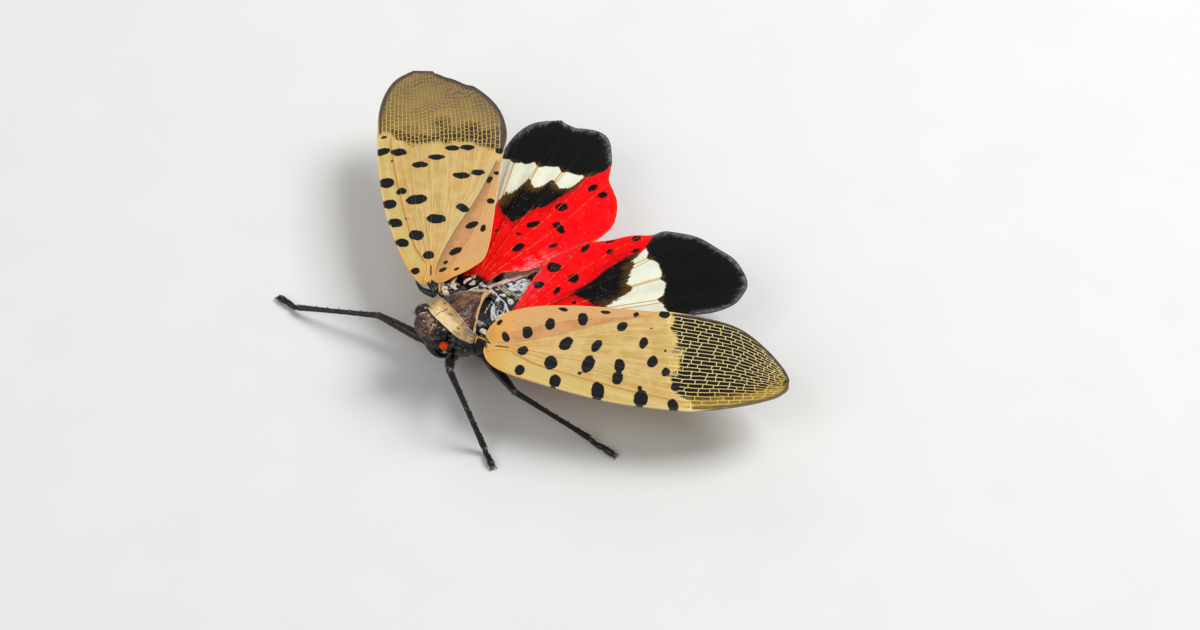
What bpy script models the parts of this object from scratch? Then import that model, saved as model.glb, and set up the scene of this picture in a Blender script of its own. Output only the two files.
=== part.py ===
"""Spotted lanternfly (Lycorma delicatula), life size, still model with its four wings spread.

Head toward -Y, the insect's left side toward +X, +Z up, feet on z = 0. All sizes below are
millimetres and degrees, with x = 0 on the insect's midline and y = 0 where the neck plate ends.
The finished meshes are scaled to metres and moved so that the origin is under the middle of the box.
"""
import math

import bmesh
import bpy
from mathutils import Matrix, Vector

MM = 0.001          # metres in a millimetre
GAP = 0.06          # clearance between pieces that meet
PLATE = 0.5         # thickness of wings and back plates

# Trunk stations from front to rear: (y, half width, top z, bottom z, z of the widest level)
PROTHORAX = [(-1.36, 1.25, 4.95, 2.9, 4.0), (-1.0, 1.62, 5.2, 2.55, 4.0),
             (-0.5, 1.8, 5.35, 2.35, 4.0), (-0.12, 1.85, 5.3, 2.25, 4.0)]
MESOTHORAX = [(-0.05, 2.1, 5.3, 2.2, 3.7), (0.6, 2.35, 5.4, 2.0, 3.7),
              (1.4, 2.38, 5.1, 1.9, 3.7), (2.14, 2.3, 4.7, 1.9, 3.6)]
METATHORAX = [(2.2, 2.28, 4.7, 1.9, 3.5), (2.8, 2.3, 4.8, 1.95, 3.5), (3.5, 2.2, 4.6, 2.1, 3.45)]
ABDOMEN = [(3.58, 2.05, 4.5, 2.2, 3.4), (4.4, 2.25, 4.3, 2.0, 3.2), (5.8, 2.3, 3.95, 1.75, 2.9),
           (7.4, 2.1, 3.7, 1.6, 2.75), (8.9, 1.65, 3.4, 1.6, 2.6), (10.1, 1.05, 3.1, 1.75, 2.45)]
ABDOMEN_TIP = [(10.16, 0.95, 3.0, 1.85, 2.4), (10.8, 0.75, 2.85, 1.85, 2.3), (11.5, 0.3, 2.55, 2.05, 2.3)]
ABDOMEN_SEGMENTS = 6
SEGMENT_GROOVE = 0.07

# Head, in its own place before it turns about the neck
HEAD = [(-1.42, 0.8, 5.1, 3.8, 4.6), (-1.72, 1.0, 5.3, 3.5, 4.6), (-1.8, 1.26, 5.8, 3.25, 4.7),
        (-2.2, 1.32, 5.97, 3.3, 4.7), (-2.65, 1.15, 5.85, 3.85, 4.8), (-2.95, 0.85, 5.6, 4.4, 4.95),
        (-3.12, 0.4, 5.3, 4.75, 5.0)]
NECK = (0.0, -1.0, 4.6)
HEAD_SHIFT = -0.12                   # the head sits a little to the right
HEAD_TURN = 4.0                      # degrees toward the insect's right
EYE = {"place": (1.2, -2.08, 5.38), "radii": (0.5, 0.54, 0.58)}
ANTENNA = {"root": (1.02, -2.0, 4.38), "way": (0.9, -0.3, 0.08),
           "profile": [(0.0, 0.25), (0.18, 0.27), (0.32, 0.33), (0.5, 0.35), (0.68, 0.3),
                       (0.78, 0.25), (1.3, 0.25)]}
BEAK = {"path": [(-0.15, -2.15, 3.0), (-0.05, -1.75, 2.1), (0.0, -1.1, 1.55), (0.0, 0.4, 1.32),
                 (0.0, 2.2, 1.4)], "radii": (0.42, 0.34, 0.27, 0.25, 0.25)}

# Back plates: half width, z of the side ends, z of the crest at front and rear
PRONOTUM = {"half_width": 2.38, "side_z": 4.25, "crest_z": (5.95, 6.2), "front_y": -1.7,
            "front_back_sweep": 1.0, "rear_y": -0.5, "rear_back_sweep": 0.4}
MESONOTUM = {"half_width": 2.1, "tip_half_width": 0.1, "tip_y": 2.9, "crest_z": (6.08, 5.62),
             "side_drop": 1.25, "front_sweep": 0.5}
METANOTUM = {"half_width": 1.75, "front_y": 3.1, "front_sweep": -0.62, "rear_y": 3.5,
             "crest_z": 5.08, "side_drop": 0.55}

# Wings: root, sweep back from square, rise of the tip, raise of the hind edge (twist), then the
# leading and the hind edge as (along the span, across the chord) from the root to the tip
WINGS = {
    "forewing_left": {
        "root": (3.4, -0.1, 5.0), "sweep": 45.8, "rise": -1.0, "twist": 3.0, "camber": 0.35,
        "leading": [(0.0, -0.75), (1.3, -1.9), (4.0, -2.7), (7.6, -3.35), (11.2, -3.68), (14.8, -3.55),
                    (18.0, -2.75), (20.3, -1.75), (21.2, -0.65)],
        "hind": [(0.05, 0.75), (1.15, 3.35), (3.3, 4.35), (7.3, 4.93), (11.5, 5.1), (14.6, 4.92),
                 (17.1, 4.05), (19.2, 2.25), (21.2, 0.0)]},
    "forewing_right": {
        "root": (-3.4, 0.25, 5.0), "sweep": 34.3, "rise": 4.0, "twist": 6.0, "camber": 0.35,
        "leading": [(0.0, -0.9), (1.7, -1.85), (4.0, -2.5), (7.6, -3.35), (11.0, -3.75), (14.4, -3.9),
                    (17.6, -3.7), (19.8, -2.75), (20.75, -1.2)],
        "hind": [(0.1, 0.6), (1.6, 2.9), (3.0, 3.85), (7.6, 4.5), (11.2, 4.95), (14.0, 5.45),
                 (16.8, 4.9), (19.1, 3.0), (20.6, 0.3)]},
    "hindwing_left": {
        "root": (2.1, 2.3, 4.3), "sweep": 53.0, "rise": -2.0, "twist": 3.0, "camber": 0.0,
        "leading": [(0.0, -0.9), (2.6, -1.5), (6.0, -1.3), (9.5, -0.3), (13.0, 1.55), (14.7, 2.0),
                    (16.1, 2.7), (17.0, 4.1)],
        "hind": [(0.1, 1.0), (0.9, 1.9), (2.1, 4.4), (3.3, 6.4), (5.0, 7.6), (7.9, 8.55), (10.2, 8.9),
                 (11.5, 9.4), (13.8, 8.85), (16.3, 6.9), (17.1, 5.1)]},
    "hindwing_right": {
        "root": (-2.1, 2.3, 4.1), "sweep": 36.0, "rise": 0.0, "twist": -1.0, "camber": 0.0,
        "leading": [(0.0, -0.9), (2.7, -1.4), (6.2, -1.1), (9.8, 0.1), (13.9, 2.1), (15.9, 3.1),
                    (17.3, 4.4), (17.8, 5.5)],
        "hind": [(0.1, 0.9), (1.95, 2.3), (2.2, 4.2), (3.4, 6.4), (5.4, 9.2), (7.2, 10.3), (9.4, 10.5),
                 (11.4, 9.95), (13.5, 10.15), (16.0, 9.8), (16.8, 8.1), (17.8, 6.4)]}}
WING_STEPS = (16, 8)                 # along the span, across the chord
HINGE_PATH = [(1.7, 0.62, 4.3), (2.3, 0.42, 4.45), (2.8, 0.25, 4.7)]
HINGE_RADII = (0.45, 0.42, 0.36, 0.33, 0.3)
ROOM_HEIGHT = 1.5                    # how far a plate's cutter reaches above the plate
ROOM_DEPTH = 0.18                    # and below it

# Legs: where the coxa leaves the trunk, hip, knee, ankle and toe
LEGS = {
    "front_left": [(1.2, -0.75, 3.0), (0.66, -1.15, 1.8), (4.14, -3.48, 5.1), (7.85, -3.3, 0.5),
                   (9.5, -3.72, 0.24)],
    "front_right": [(-1.2, -0.75, 3.0), (-0.66, -1.15, 1.78), (-5.55, -2.95, 2.1), (-10.85, -6.3, 0.5),
                    (-12.9, -6.75, 0.24)],
    "middle_left": [(1.5, 0.9, 2.8), (1.3, 1.0, 1.65), (7.2, -0.2, 3.55), (11.4, 3.05, 0.5),
                    (13.6, 3.7, 0.24)],
    "middle_right": [(-1.5, 0.9, 2.8), (-1.3, 1.1, 1.65), (-6.0, 2.9, 3.9), (-10.1, 5.7, 0.5),
                     (-11.9, 6.8, 0.24)],
    "hind_left": [(1.45, 2.9, 2.8), (1.25, 3.1, 1.6), (4.5, 7.5, 3.3), (7.0, 13.8, 0.5),
                  (8.0, 15.7, 0.24)],
    "hind_right": [(-1.45, 2.9, 2.8), (-1.25, 3.1, 1.6), (-4.6, 7.5, 2.9), (-7.3, 13.8, 0.5),
                   (-8.3, 15.7, 0.24)]}
COXA_RADII = (0.5, 0.52, 0.4)
FEMUR_RADII = (0.27, 0.3, 0.38, 0.37, 0.31, 0.27)
TIBIA_RADII = (0.27, 0.25, 0.25, 0.25, 0.27, 0.28)
TARSUS_RADII = (0.25, 0.25, 0.27, 0.25, 0.28, 0.3, 0.25)
LEG_SIDES = 8
FEMUR_START = 0.06                   # share of the way from hip to knee that the coxa's end takes

COLOURS = {                          # name: (red, green, blue), roughness
    "black_shell": ((0.012, 0.011, 0.012), 0.35),
    "head_tan": ((0.12, 0.07, 0.04), 0.5),
    "pronotum_tan": ((0.48, 0.33, 0.17), 0.5),
    "mesonotum_brown": ((0.11, 0.035, 0.02), 0.4),
    "waxy_black": ((0.12, 0.12, 0.13), 0.55),
    "eye_grey": ((0.03, 0.035, 0.04), 0.15),
    "antenna_orange": ((0.85, 0.09, 0.015), 0.45),
    "forewing_tan": ((0.62, 0.42, 0.23), 0.5),
    "hindwing_red": ((0.75, 0.012, 0.02), 0.45),
    "leg_black": ((0.01, 0.009, 0.009), 0.4)}


def clear_scene():
    for item in list(bpy.data.objects):
        bpy.data.objects.remove(item, do_unlink=True)


def make_material(name):
    colour, roughness = COLOURS[name]
    material = bpy.data.materials.get(name) or bpy.data.materials.new(name)
    material.use_nodes = True
    shader = material.node_tree.nodes["Principled BSDF"]
    shader.inputs["Base Color"].default_value = (*colour, 1.0)
    shader.inputs["Roughness"].default_value = roughness
    shader.inputs["Metallic"].default_value = 0.0
    material.diffuse_color = (*colour, 1.0)
    return material


def add_object(name, mesh_data, material):
    """Put a bmesh in the scene as one named object, still in millimetres."""
    bmesh.ops.recalc_face_normals(mesh_data, faces=mesh_data.faces)
    mesh = bpy.data.meshes.new(name)
    mesh_data.to_mesh(mesh)
    mesh_data.free()
    mesh.materials.append(make_material(material))
    item = bpy.data.objects.new(name, mesh)
    bpy.context.scene.collection.objects.link(item)
    return item


def carve(item, cutter):
    """Cut one object by another and drop the cutter."""
    cut = item.modifiers.new("cut", "BOOLEAN")
    cut.operation = "DIFFERENCE"
    cut.object = cutter
    view = bpy.context.evaluated_depsgraph_get()
    cut_mesh = bpy.data.meshes.new_from_object(item.evaluated_get(view))
    item.modifiers.clear()
    item.data = cut_mesh
    bpy.data.objects.remove(cutter, do_unlink=True)


def smooth_through(keys, count):
    """Catmull-Rom values at count even steps through rows of numbers."""
    rows = []
    last = len(keys) - 1
    for step in range(count):
        place = step * last / (count - 1)
        index = min(int(place), last - 1)
        part = place - index
        before, start = keys[max(index - 1, 0)], keys[index]
        end, after = keys[index + 1], keys[min(index + 2, last)]
        row = []
        for p0, p1, p2, p3 in zip(before, start, end, after):
            row.append(0.5 * (2 * p1 + (p2 - p0) * part + (2 * p0 - 5 * p1 + 4 * p2 - p3) * part ** 2
                              + (3 * p1 - p0 - 3 * p2 + p3) * part ** 3))
        rows.append(row)
    return rows


def close_rings(rings):
    """Skin a stack of closed rings and fan each end to its centre."""
    mesh_data = bmesh.new()
    loops = [[mesh_data.verts.new(point) for point in ring] for ring in rings]
    for here, there in zip(loops, loops[1:]):
        for side in range(len(here)):
            turn = (side + 1) % len(here)
            mesh_data.faces.new((here[side], here[turn], there[turn], there[side]))
    for loop in (loops[0], loops[-1]):
        centre = mesh_data.verts.new(sum((vert.co for vert in loop), Vector()) / len(loop))
        for side in range(len(loop)):
            mesh_data.faces.new((loop[side], loop[(side + 1) % len(loop)], centre))
    return mesh_data


def trunk_ring(station, sides, grow=0.0, power=2.3):
    """A superellipse across the body with different heights above and below its widest level."""
    y, half_width, top, bottom, middle = station
    ring = []
    for side in range(sides):
        angle = 2 * math.pi * (side + 0.5) / sides
        across, up = math.cos(angle), math.sin(angle)
        height = top - middle if up > 0 else middle - bottom
        ring.append((math.copysign(abs(across) ** (2 / power), across) * (half_width + grow), y,
                     middle + math.copysign(abs(up) ** (2 / power), up) * (height + grow)))
    return ring


def trunk_piece(stations, count, sides, grow=0.0, segments=0):
    """A length of the body through its stations, with an optional groove at each segment's end."""
    rows = smooth_through(stations, count)
    first, last = rows[0][0], rows[-1][0]
    rings = []
    for index, (y, half_width, top, bottom, middle) in enumerate(rows):
        if index == 0:
            y -= grow
        if index == len(rows) - 1:
            y += grow
        groove = 0.0
        if segments:
            phase = (y - first) / (last - first) * segments
            groove = SEGMENT_GROOVE * (2 * abs(phase % 1.0 - 0.5)) ** 4
        rings.append(trunk_ring((y, half_width - groove, top - groove, bottom + groove, middle), sides, grow))
    return close_rings(rings)


def tube(points, radii, sides):
    """A round tube along points, its radius running through radii."""
    centres = [Vector(point) for point in points]
    widths = smooth_through([(radius,) for radius in radii], len(centres))
    normal = None
    rings = []
    for index, centre in enumerate(centres):
        ahead = centres[min(index + 1, len(centres) - 1)] - centres[max(index - 1, 0)]
        ahead.normalize()
        if normal is None:
            normal = ahead.orthogonal()
        normal = (normal - ahead * normal.dot(ahead)).normalized()
        other = ahead.cross(normal)
        ring = []
        for side in range(sides):
            angle = 2 * math.pi * side / sides
            ring.append(centre + (normal * math.cos(angle) + other * math.sin(angle)) * widths[index][0])
        rings.append(ring)
    return close_rings(rings)


def plate(surface, steps):
    """A closed plate under a surface that gives, for two values from 0 to 1, its top and bottom points."""
    long_steps, cross_steps = steps
    mesh_data = bmesh.new()
    layers = ([], [])
    for i in range(long_steps + 1):
        rows = ([], [])
        for j in range(cross_steps + 1):
            for row, point in zip(rows, surface(i / long_steps, j / cross_steps)):
                row.append(mesh_data.verts.new(point))
        for layer, row in zip(layers, rows):
            layer.append(row)
    for layer in layers:
        for i in range(long_steps):
            for j in range(cross_steps):
                mesh_data.faces.new((layer[i][j], layer[i + 1][j], layer[i + 1][j + 1], layer[i][j + 1]))
    rim = [(i, 0) for i in range(long_steps)] + [(long_steps, j) for j in range(cross_steps)]
    rim += [(i, cross_steps) for i in range(long_steps, 0, -1)] + [(0, j) for j in range(cross_steps, 0, -1)]
    upper, lower = layers
    for (i, j), (k, m) in zip(rim, rim[1:] + rim[:1]):
        mesh_data.faces.new((upper[i][j], upper[k][m], lower[k][m], lower[i][j]))
    return mesh_data


def slice_off(mesh_data, point, way):
    """Cut a closed bmesh by a plane, drop what lies that way and close the cut."""
    everything = list(mesh_data.verts) + list(mesh_data.edges) + list(mesh_data.faces)
    bmesh.ops.bisect_plane(mesh_data, geom=everything, plane_co=point, plane_no=way, clear_outer=True)
    bmesh.ops.holes_fill(mesh_data, edges=[edge for edge in mesh_data.edges if edge.is_boundary])


def ellipsoid(place, radii, sides, grow=0.0):
    mesh_data = bmesh.new()
    bmesh.ops.create_uvsphere(mesh_data, u_segments=sides, v_segments=sides // 2, radius=1.0)
    scale = Matrix.Diagonal((radii[0] + grow, radii[1] + grow, radii[2] + grow, 1.0))
    mesh_data.transform(Matrix.Translation(place) @ scale)
    return mesh_data


def turn_head(item):
    """Turn a piece of the head about the neck."""
    neck = Matrix.Translation(NECK)
    shift = Matrix.Translation((HEAD_SHIFT, 0, 0))
    item.data.transform(shift @ neck @ Matrix.Rotation(math.radians(-HEAD_TURN), 4, "Z") @ neck.inverted())


def make_trunk():
    add_object("prothorax", trunk_piece(PROTHORAX, 6, 16), "black_shell")
    add_object("mesothorax", trunk_piece(MESOTHORAX, 7, 16), "black_shell")
    add_object("metathorax", trunk_piece(METATHORAX, 5, 16), "black_shell")
    add_object("abdomen", trunk_piece(ABDOMEN, 19, 16, segments=ABDOMEN_SEGMENTS), "waxy_black")
    add_object("abdomen_tip", trunk_piece(ABDOMEN_TIP, 5, 12), "black_shell")


def make_head():
    head = add_object("head", trunk_piece(HEAD, 13, 16), "head_tan")
    for side, name in ((1, "left"), (-1, "right")):
        place = Vector((EYE["place"][0] * side, *EYE["place"][1:]))
        carve(head, add_object("eye_socket", ellipsoid(place, EYE["radii"], 14, GAP), "black_shell"))
        turn_head(add_object("eye_" + name, ellipsoid(place, EYE["radii"], 14), "eye_grey"))

        root = Vector((ANTENNA["root"][0] * side, *ANTENNA["root"][1:]))
        way = Vector((ANTENNA["way"][0] * side, *ANTENNA["way"][1:])).normalized()
        lengths = [length for length, _ in ANTENNA["profile"]]
        radii = [radius for _, radius in ANTENNA["profile"]]
        centres = [root + way * length for length in lengths]
        antenna = add_object("antenna_" + name, tube(centres, radii, 10), "antenna_orange")
        grown_radii = [radius + GAP for radius in radii]
        socket = add_object("antenna_socket", tube(centres, grown_radii, 10), "black_shell")
        socket.data.transform(Matrix.Translation(-way * GAP))
        carve(head, socket)
        turn_head(antenna)
    turn_head(head)
    beak_path = smooth_through(BEAK["path"], 10)
    beak = add_object("beak", tube(beak_path, BEAK["radii"], 8), "black_shell")
    cutter = add_object("head_room", trunk_piece(HEAD, 13, 16, GAP), "black_shell")
    turn_head(cutter)
    carve(beak, cutter)


def pronotum_surface(along, across):
    """A saddle over the neck, from its front edge to its rear edge."""
    sizes = PRONOTUM
    side = 2 * across - 1
    angle = side * math.pi / 2
    front = sizes["front_y"] + sizes["front_back_sweep"] * abs(side) ** 1.5
    rear = sizes["rear_y"] + sizes["rear_back_sweep"] * side ** 2
    y = front + (rear - front) * along
    crest = sizes["crest_z"][0] + (sizes["crest_z"][1] - sizes["crest_z"][0]) * along
    points = []
    for inset in (0.0, PLATE):
        lift = crest - sizes["side_z"] - inset
        points.append(((sizes["half_width"] - inset) * math.sin(angle), y,
                       sizes["side_z"] + lift * math.cos(angle)))
    return points


def mesonotum_surface(along, across):
    """A domed triangle that ends in the scutellum's point."""
    sizes = MESONOTUM
    side = 2 * across - 1
    tip = sizes["tip_half_width"]
    half_width = tip + (sizes["half_width"] - tip) * max(0.0, 1 - along) ** 1.12
    front = PRONOTUM["rear_y"] + GAP + sizes["front_sweep"] * abs(side) ** 2.2
    y = front + (sizes["tip_y"] - front) * along
    crest = sizes["crest_z"][0] + (sizes["crest_z"][1] - sizes["crest_z"][0]) * along
    x = side * half_width
    top = crest - sizes["side_drop"] * (x / sizes["half_width"]) ** 2
    return (x, y, top), (x, y, top - PLATE)


def metanotum_surface(along, across):
    """A short band across the back whose front edge follows the scutellum."""
    sizes = METANOTUM
    side = 2 * across - 1
    front = sizes["front_y"] + sizes["front_sweep"] * abs(side)
    y = front + (sizes["rear_y"] - front) * along
    x = side * sizes["half_width"]
    top = sizes["crest_z"] - sizes["side_drop"] * side ** 2 - 0.2 * along
    return (x, y, top), (x, y, top - PLATE)


BACK_PLATES = {
    "pronotum": {"carriers": ["prothorax"], "surface": pronotum_surface, "steps": (4, 14),
                 "spread": (0.03, 0.03), "material": "pronotum_tan"},
    "mesonotum": {"carriers": ["mesothorax", "metathorax"], "surface": mesonotum_surface, "steps": (7, 10),
                  "spread": (0.03, 0.03), "material": "mesonotum_brown"},
    "metanotum": {"carriers": ["metathorax"], "surface": metanotum_surface, "steps": (3, 12),
                  "spread": (0.2, 0.03), "material": "waxy_black"}}


def room_above(name):
    """A cutter that clears a back plate and all that lies over it, a little wider than the plate."""
    sizes = BACK_PLATES[name]

    def roomy(*place):
        wider = [(1 + 2 * spread) * value - spread for value, spread in zip(place, sizes["spread"])]
        top, bottom = (Vector(point) for point in sizes["surface"](*wider))
        return top + Vector((0, 0, ROOM_HEIGHT)), bottom - Vector((0, 0, ROOM_DEPTH))

    return add_object("plate_room", plate(roomy, sizes["steps"]), "black_shell")


def make_back_plates():
    """Three plates, each let into the pieces of the trunk that carry it."""
    for name, sizes in BACK_PLATES.items():
        add_object(name, plate(sizes["surface"], sizes["steps"]), sizes["material"])
        for carrier in sizes["carriers"]:
            carve(bpy.data.objects[carrier], room_above(name))


def wing_frame(pose, side):
    """Span, chord (toward the rear) and upward directions of a wing."""
    sweep, rise, twist = (math.radians(pose[key]) for key in ("sweep", "rise", "twist"))
    span = Vector((side * math.cos(sweep) * math.cos(rise), math.sin(sweep) * math.cos(rise), math.sin(rise)))
    level_chord = Vector((-side * math.sin(sweep), math.cos(sweep), 0.0))
    level_up = span.cross(level_chord) * side
    chord = level_chord * math.cos(twist) + level_up * math.sin(twist)
    return span, chord, span.cross(chord) * side


def make_wing(name):
    pose = WINGS[name]
    side = 1 if name.endswith("left") else -1
    root = Vector(pose["root"])
    span, chord, up = wing_frame(pose, side)
    long_steps = WING_STEPS[0]
    leading_edge = smooth_through(pose["leading"], long_steps + 1)
    hind_edge = smooth_through(pose["hind"], long_steps + 1)
    widest = max(abs(row[1]) for row in leading_edge + hind_edge)

    def surface(along, across):
        step = round(along * long_steps)
        front, back = Vector(leading_edge[step]), Vector(hind_edge[step])
        u, v = front + (back - front) * across
        sag = -pose["camber"] * (v / widest) ** 2
        middle = root + span * u + chord * v + up * sag
        return middle + up * PLATE / 2, middle - up * PLATE / 2

    material = "forewing_tan" if name.startswith("forewing") else "hindwing_red"
    return add_object(name, plate(surface, WING_STEPS), material)


def make_wings():
    for name in ("left", "right"):
        make_wing("forewing_" + name)
        hindwing = make_wing("hindwing_" + name)
        for stations in (METATHORAX, MESOTHORAX, ABDOMEN):
            carve(hindwing, add_object("body_room", trunk_piece(stations, 8, 16, GAP), "black_shell"))
        carve(hindwing, room_above("metanotum"))


def make_hinges():
    """The black root of each forewing, between the thorax and the wing."""
    for side, name in ((1, "left"), (-1, "right")):
        wing_root = Vector(WINGS["forewing_" + name]["root"])
        span = wing_frame(WINGS["forewing_" + name], side)[0]
        outward = Vector((side, 0.0, 0.0))
        path = [Vector((side * x, y, z)) for x, y, z in HINGE_PATH] + [wing_root, wing_root + outward * 0.6]
        hinge = tube(smooth_through(path, 9), HINGE_RADII, 10)
        slice_off(hinge, wing_root - span * GAP, span)
        hinge = add_object("forewing_root_" + name, hinge, "black_shell")
        carve(hinge, add_object("body_room", trunk_piece(MESOTHORAX, 8, 16, GAP), "black_shell"))
        carve(hinge, room_above("mesonotum"))


def leg_segment(start, end, radii, rings, grow=0.0):
    """A limb segment between two joints, short of each by half the gap, or its room if grown."""
    start, end = Vector(start), Vector(end)
    way = (end - start).normalized()
    start, end = start + way * (GAP / 2 - grow), end - way * (GAP / 2 - grow)
    points = [start.lerp(end, ring / (rings - 1)) for ring in range(rings)]
    return tube(points, [radius + grow for radius in radii], LEG_SIDES)


def make_leg(name, joints):
    """Coxa, femur, tibia and a tarsus whose underside is flat on the floor."""
    trunk, hip, knee, ankle, toe = joints
    coxa = add_object("coxa_" + name, leg_segment(trunk, hip, COXA_RADII, 4), "leg_black")
    for stations in (PROTHORAX, MESOTHORAX, METATHORAX):
        carve(coxa, add_object("body_room", trunk_piece(stations, 6, 16, GAP), "black_shell"))
    femur_start = Vector(hip).lerp(Vector(knee), FEMUR_START)
    femur = add_object("femur_" + name, leg_segment(femur_start, knee, FEMUR_RADII, 6), "leg_black")
    carve(femur, add_object("joint_room", leg_segment(trunk, hip, COXA_RADII, 4, GAP), "black_shell"))
    tibia = add_object("tibia_" + name, leg_segment(knee, ankle, TIBIA_RADII, 4), "leg_black")
    carve(tibia, add_object("joint_room", leg_segment(femur_start, knee, FEMUR_RADII, 6, GAP), "black_shell"))
    heel = Vector(ankle).lerp(Vector(toe), 0.3)
    heel.z = toe[2]
    path = smooth_through([ankle, heel, toe], 6)
    tarsus = tube(path, TARSUS_RADII, LEG_SIDES)
    slice_off(tarsus, (0, 0, 0), (0, 0, -1))
    tarsus = add_object("tarsus_" + name, tarsus, "leg_black")
    carve(tarsus, add_object("joint_room", leg_segment(knee, ankle, TIBIA_RADII, 4, GAP), "black_shell"))


def finish_in_metres():
    """Stand the insect over the origin, the middle of the floor that it covers, and scale it."""
    corners = [vert.co for item in bpy.data.objects for vert in item.data.vertices]
    middle_x = (min(co.x for co in corners) + max(co.x for co in corners)) / 2
    middle_y = (min(co.y for co in corners) + max(co.y for co in corners)) / 2
    to_origin = Matrix.Translation((-middle_x, -middle_y, 0.0))
    for item in bpy.data.objects:
        item.data.transform(Matrix.Scale(MM, 4) @ to_origin)
        item.data.shade_smooth()
        item.data.set_sharp_from_angle(angle=math.radians(40))


clear_scene()
make_trunk()
make_head()
make_back_plates()
make_wings()
make_hinges()
for leg_name, leg_joints in LEGS.items():
    make_leg(leg_name, leg_joints)
finish_in_metres()
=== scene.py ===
import math

import bpy
import numpy as np
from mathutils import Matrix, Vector, noise


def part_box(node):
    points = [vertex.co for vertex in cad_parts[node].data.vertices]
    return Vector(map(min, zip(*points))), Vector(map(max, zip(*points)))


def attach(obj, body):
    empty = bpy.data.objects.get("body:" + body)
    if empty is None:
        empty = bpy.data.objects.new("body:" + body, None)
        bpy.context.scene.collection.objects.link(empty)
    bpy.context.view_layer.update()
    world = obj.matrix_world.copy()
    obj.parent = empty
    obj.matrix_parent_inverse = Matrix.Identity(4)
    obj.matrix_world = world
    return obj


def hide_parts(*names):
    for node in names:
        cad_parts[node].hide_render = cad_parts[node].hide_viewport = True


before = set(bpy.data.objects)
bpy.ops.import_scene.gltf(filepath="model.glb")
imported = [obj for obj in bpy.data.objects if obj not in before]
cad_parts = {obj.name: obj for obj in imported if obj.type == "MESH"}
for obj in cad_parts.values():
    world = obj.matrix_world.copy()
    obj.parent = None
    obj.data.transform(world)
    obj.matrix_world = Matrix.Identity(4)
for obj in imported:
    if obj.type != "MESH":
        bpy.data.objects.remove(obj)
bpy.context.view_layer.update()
mm = 0.001                              # every size below is in mm, head toward -Y, feet on z = 0
dice = np.random.default_rng(7)
leftRight = {"left": 1, "right": -1}    # the sign of x on each side of the insect

# The drawing's x = 0 is the insect's midline, and its scutellum ends at this y
scutellumTip = 2.9
low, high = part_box("mesonotum")
bodyShift = np.array([(low.x + high.x) / 2 / mm, high.y / mm - scutellumTip, 0.0])


# Shapes

def smoothThrough(keys, count):         # a smooth line at even steps through rows of numbers
    keys = np.asarray(keys, float)
    place = np.linspace(0, len(keys) - 1, count)
    index = np.minimum(place.astype(int), len(keys) - 2)
    part = (place - index)[:, None]
    before, start = keys[np.maximum(index - 1, 0)], keys[index]
    end, after = keys[index + 1], keys[np.minimum(index + 2, len(keys) - 1)]
    return 0.5 * (2 * start + (end - before) * part + (2 * before - 5 * start + 4 * end - after) * part ** 2
                  + (3 * start - before - 3 * end + after) * part ** 3)


def unit(rows):
    rows = np.asarray(rows, float)
    return rows / np.maximum(np.linalg.norm(rows, axis=-1, keepdims=True), 1e-9)


def ramp(values, start, end):           # 0 before start, 1 after end, smooth between
    part = np.clip((values - start) / (end - start), 0, 1)
    return part * part * (3 - 2 * part)


def bell(distance, width):
    return np.exp(-(np.asarray(distance) / width) ** 2)


def dots(x, y, spots, squash=1.0):      # 1 at each (x, y, size) spot, fading around it
    return sum(bell(np.hypot(x - px, (y - py) * squash), size) for px, py, size in spots)


def grain(points, size, seed=0.0):      # smooth random values from -1 to 1, lumps about this many mm wide
    offset = Vector((seed, seed * 1.7, -seed))
    values = [noise.noise(Vector(point) / size + offset) for point in np.reshape(points, (-1, 3))]
    return np.reshape(values, np.shape(points)[:-1])


def lineDistance(spots, *lines):        # how far each (u, v) lies from the nearest of these lines of points
    best = np.full(np.shape(spots)[:-1], 1e9)
    for line in lines:
        line = np.asarray(line, float)
        for start, end in zip(line[:-1], line[1:]):
            way = end - start
            part = np.clip(((spots - start) @ way) / max(way @ way, 1e-9), 0, 1)
            best = np.minimum(best, np.linalg.norm(spots - start - part[..., None] * way, axis=-1))
    return best


def grid(steps):                        # shares along and across, one row for each step along
    return np.meshgrid(np.linspace(0, 1, steps[0]), np.linspace(0, 1, steps[1]), indexing="ij")


def gridFaces(rows, columns, wrap=False, flip=False):
    i, j = np.meshgrid(np.arange(rows - 1), np.arange(columns if wrap else columns - 1), indexing="ij")
    k = (j + 1) % columns
    quads = np.stack([i * columns + j, i * columns + k, (i + 1) * columns + k, (i + 1) * columns + j], -1)
    quads = quads.reshape(-1, 4)
    return (quads[:, ::-1] if flip else quads).tolist()


def plateFaces(rows, columns, flip=False):      # an upper and a lower sheet, and the rim between them
    count = rows * columns
    faces = gridFaces(rows, columns, flip=flip)
    faces += [[corner + count for corner in face] for face in gridFaces(rows, columns, flip=not flip)]
    rim = [i * columns for i in range(rows - 1)] + [(rows - 1) * columns + j for j in range(columns - 1)]
    rim += [i * columns + columns - 1 for i in range(rows - 1, 0, -1)] + list(range(columns - 1, 0, -1))
    for here, there in zip(rim, rim[1:] + rim[:1]):
        face = [here, there, there + count, here + count]
        faces.append(face[::-1] if flip else face)
    return faces


def gridNormals(points, wrap=False):    # the way out of a grid of points, row by row
    if wrap:
        across = np.roll(points, -1, axis=1) - np.roll(points, 1, axis=1)
    else:
        across = np.gradient(points, axis=1)
    return unit(np.cross(across, np.gradient(points, axis=0)))


def swell(points, amount, wrap=True, out=-1):   # moves each point out along its own normal
    return points + out * gridNormals(points, wrap) * amount[..., None]


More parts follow.
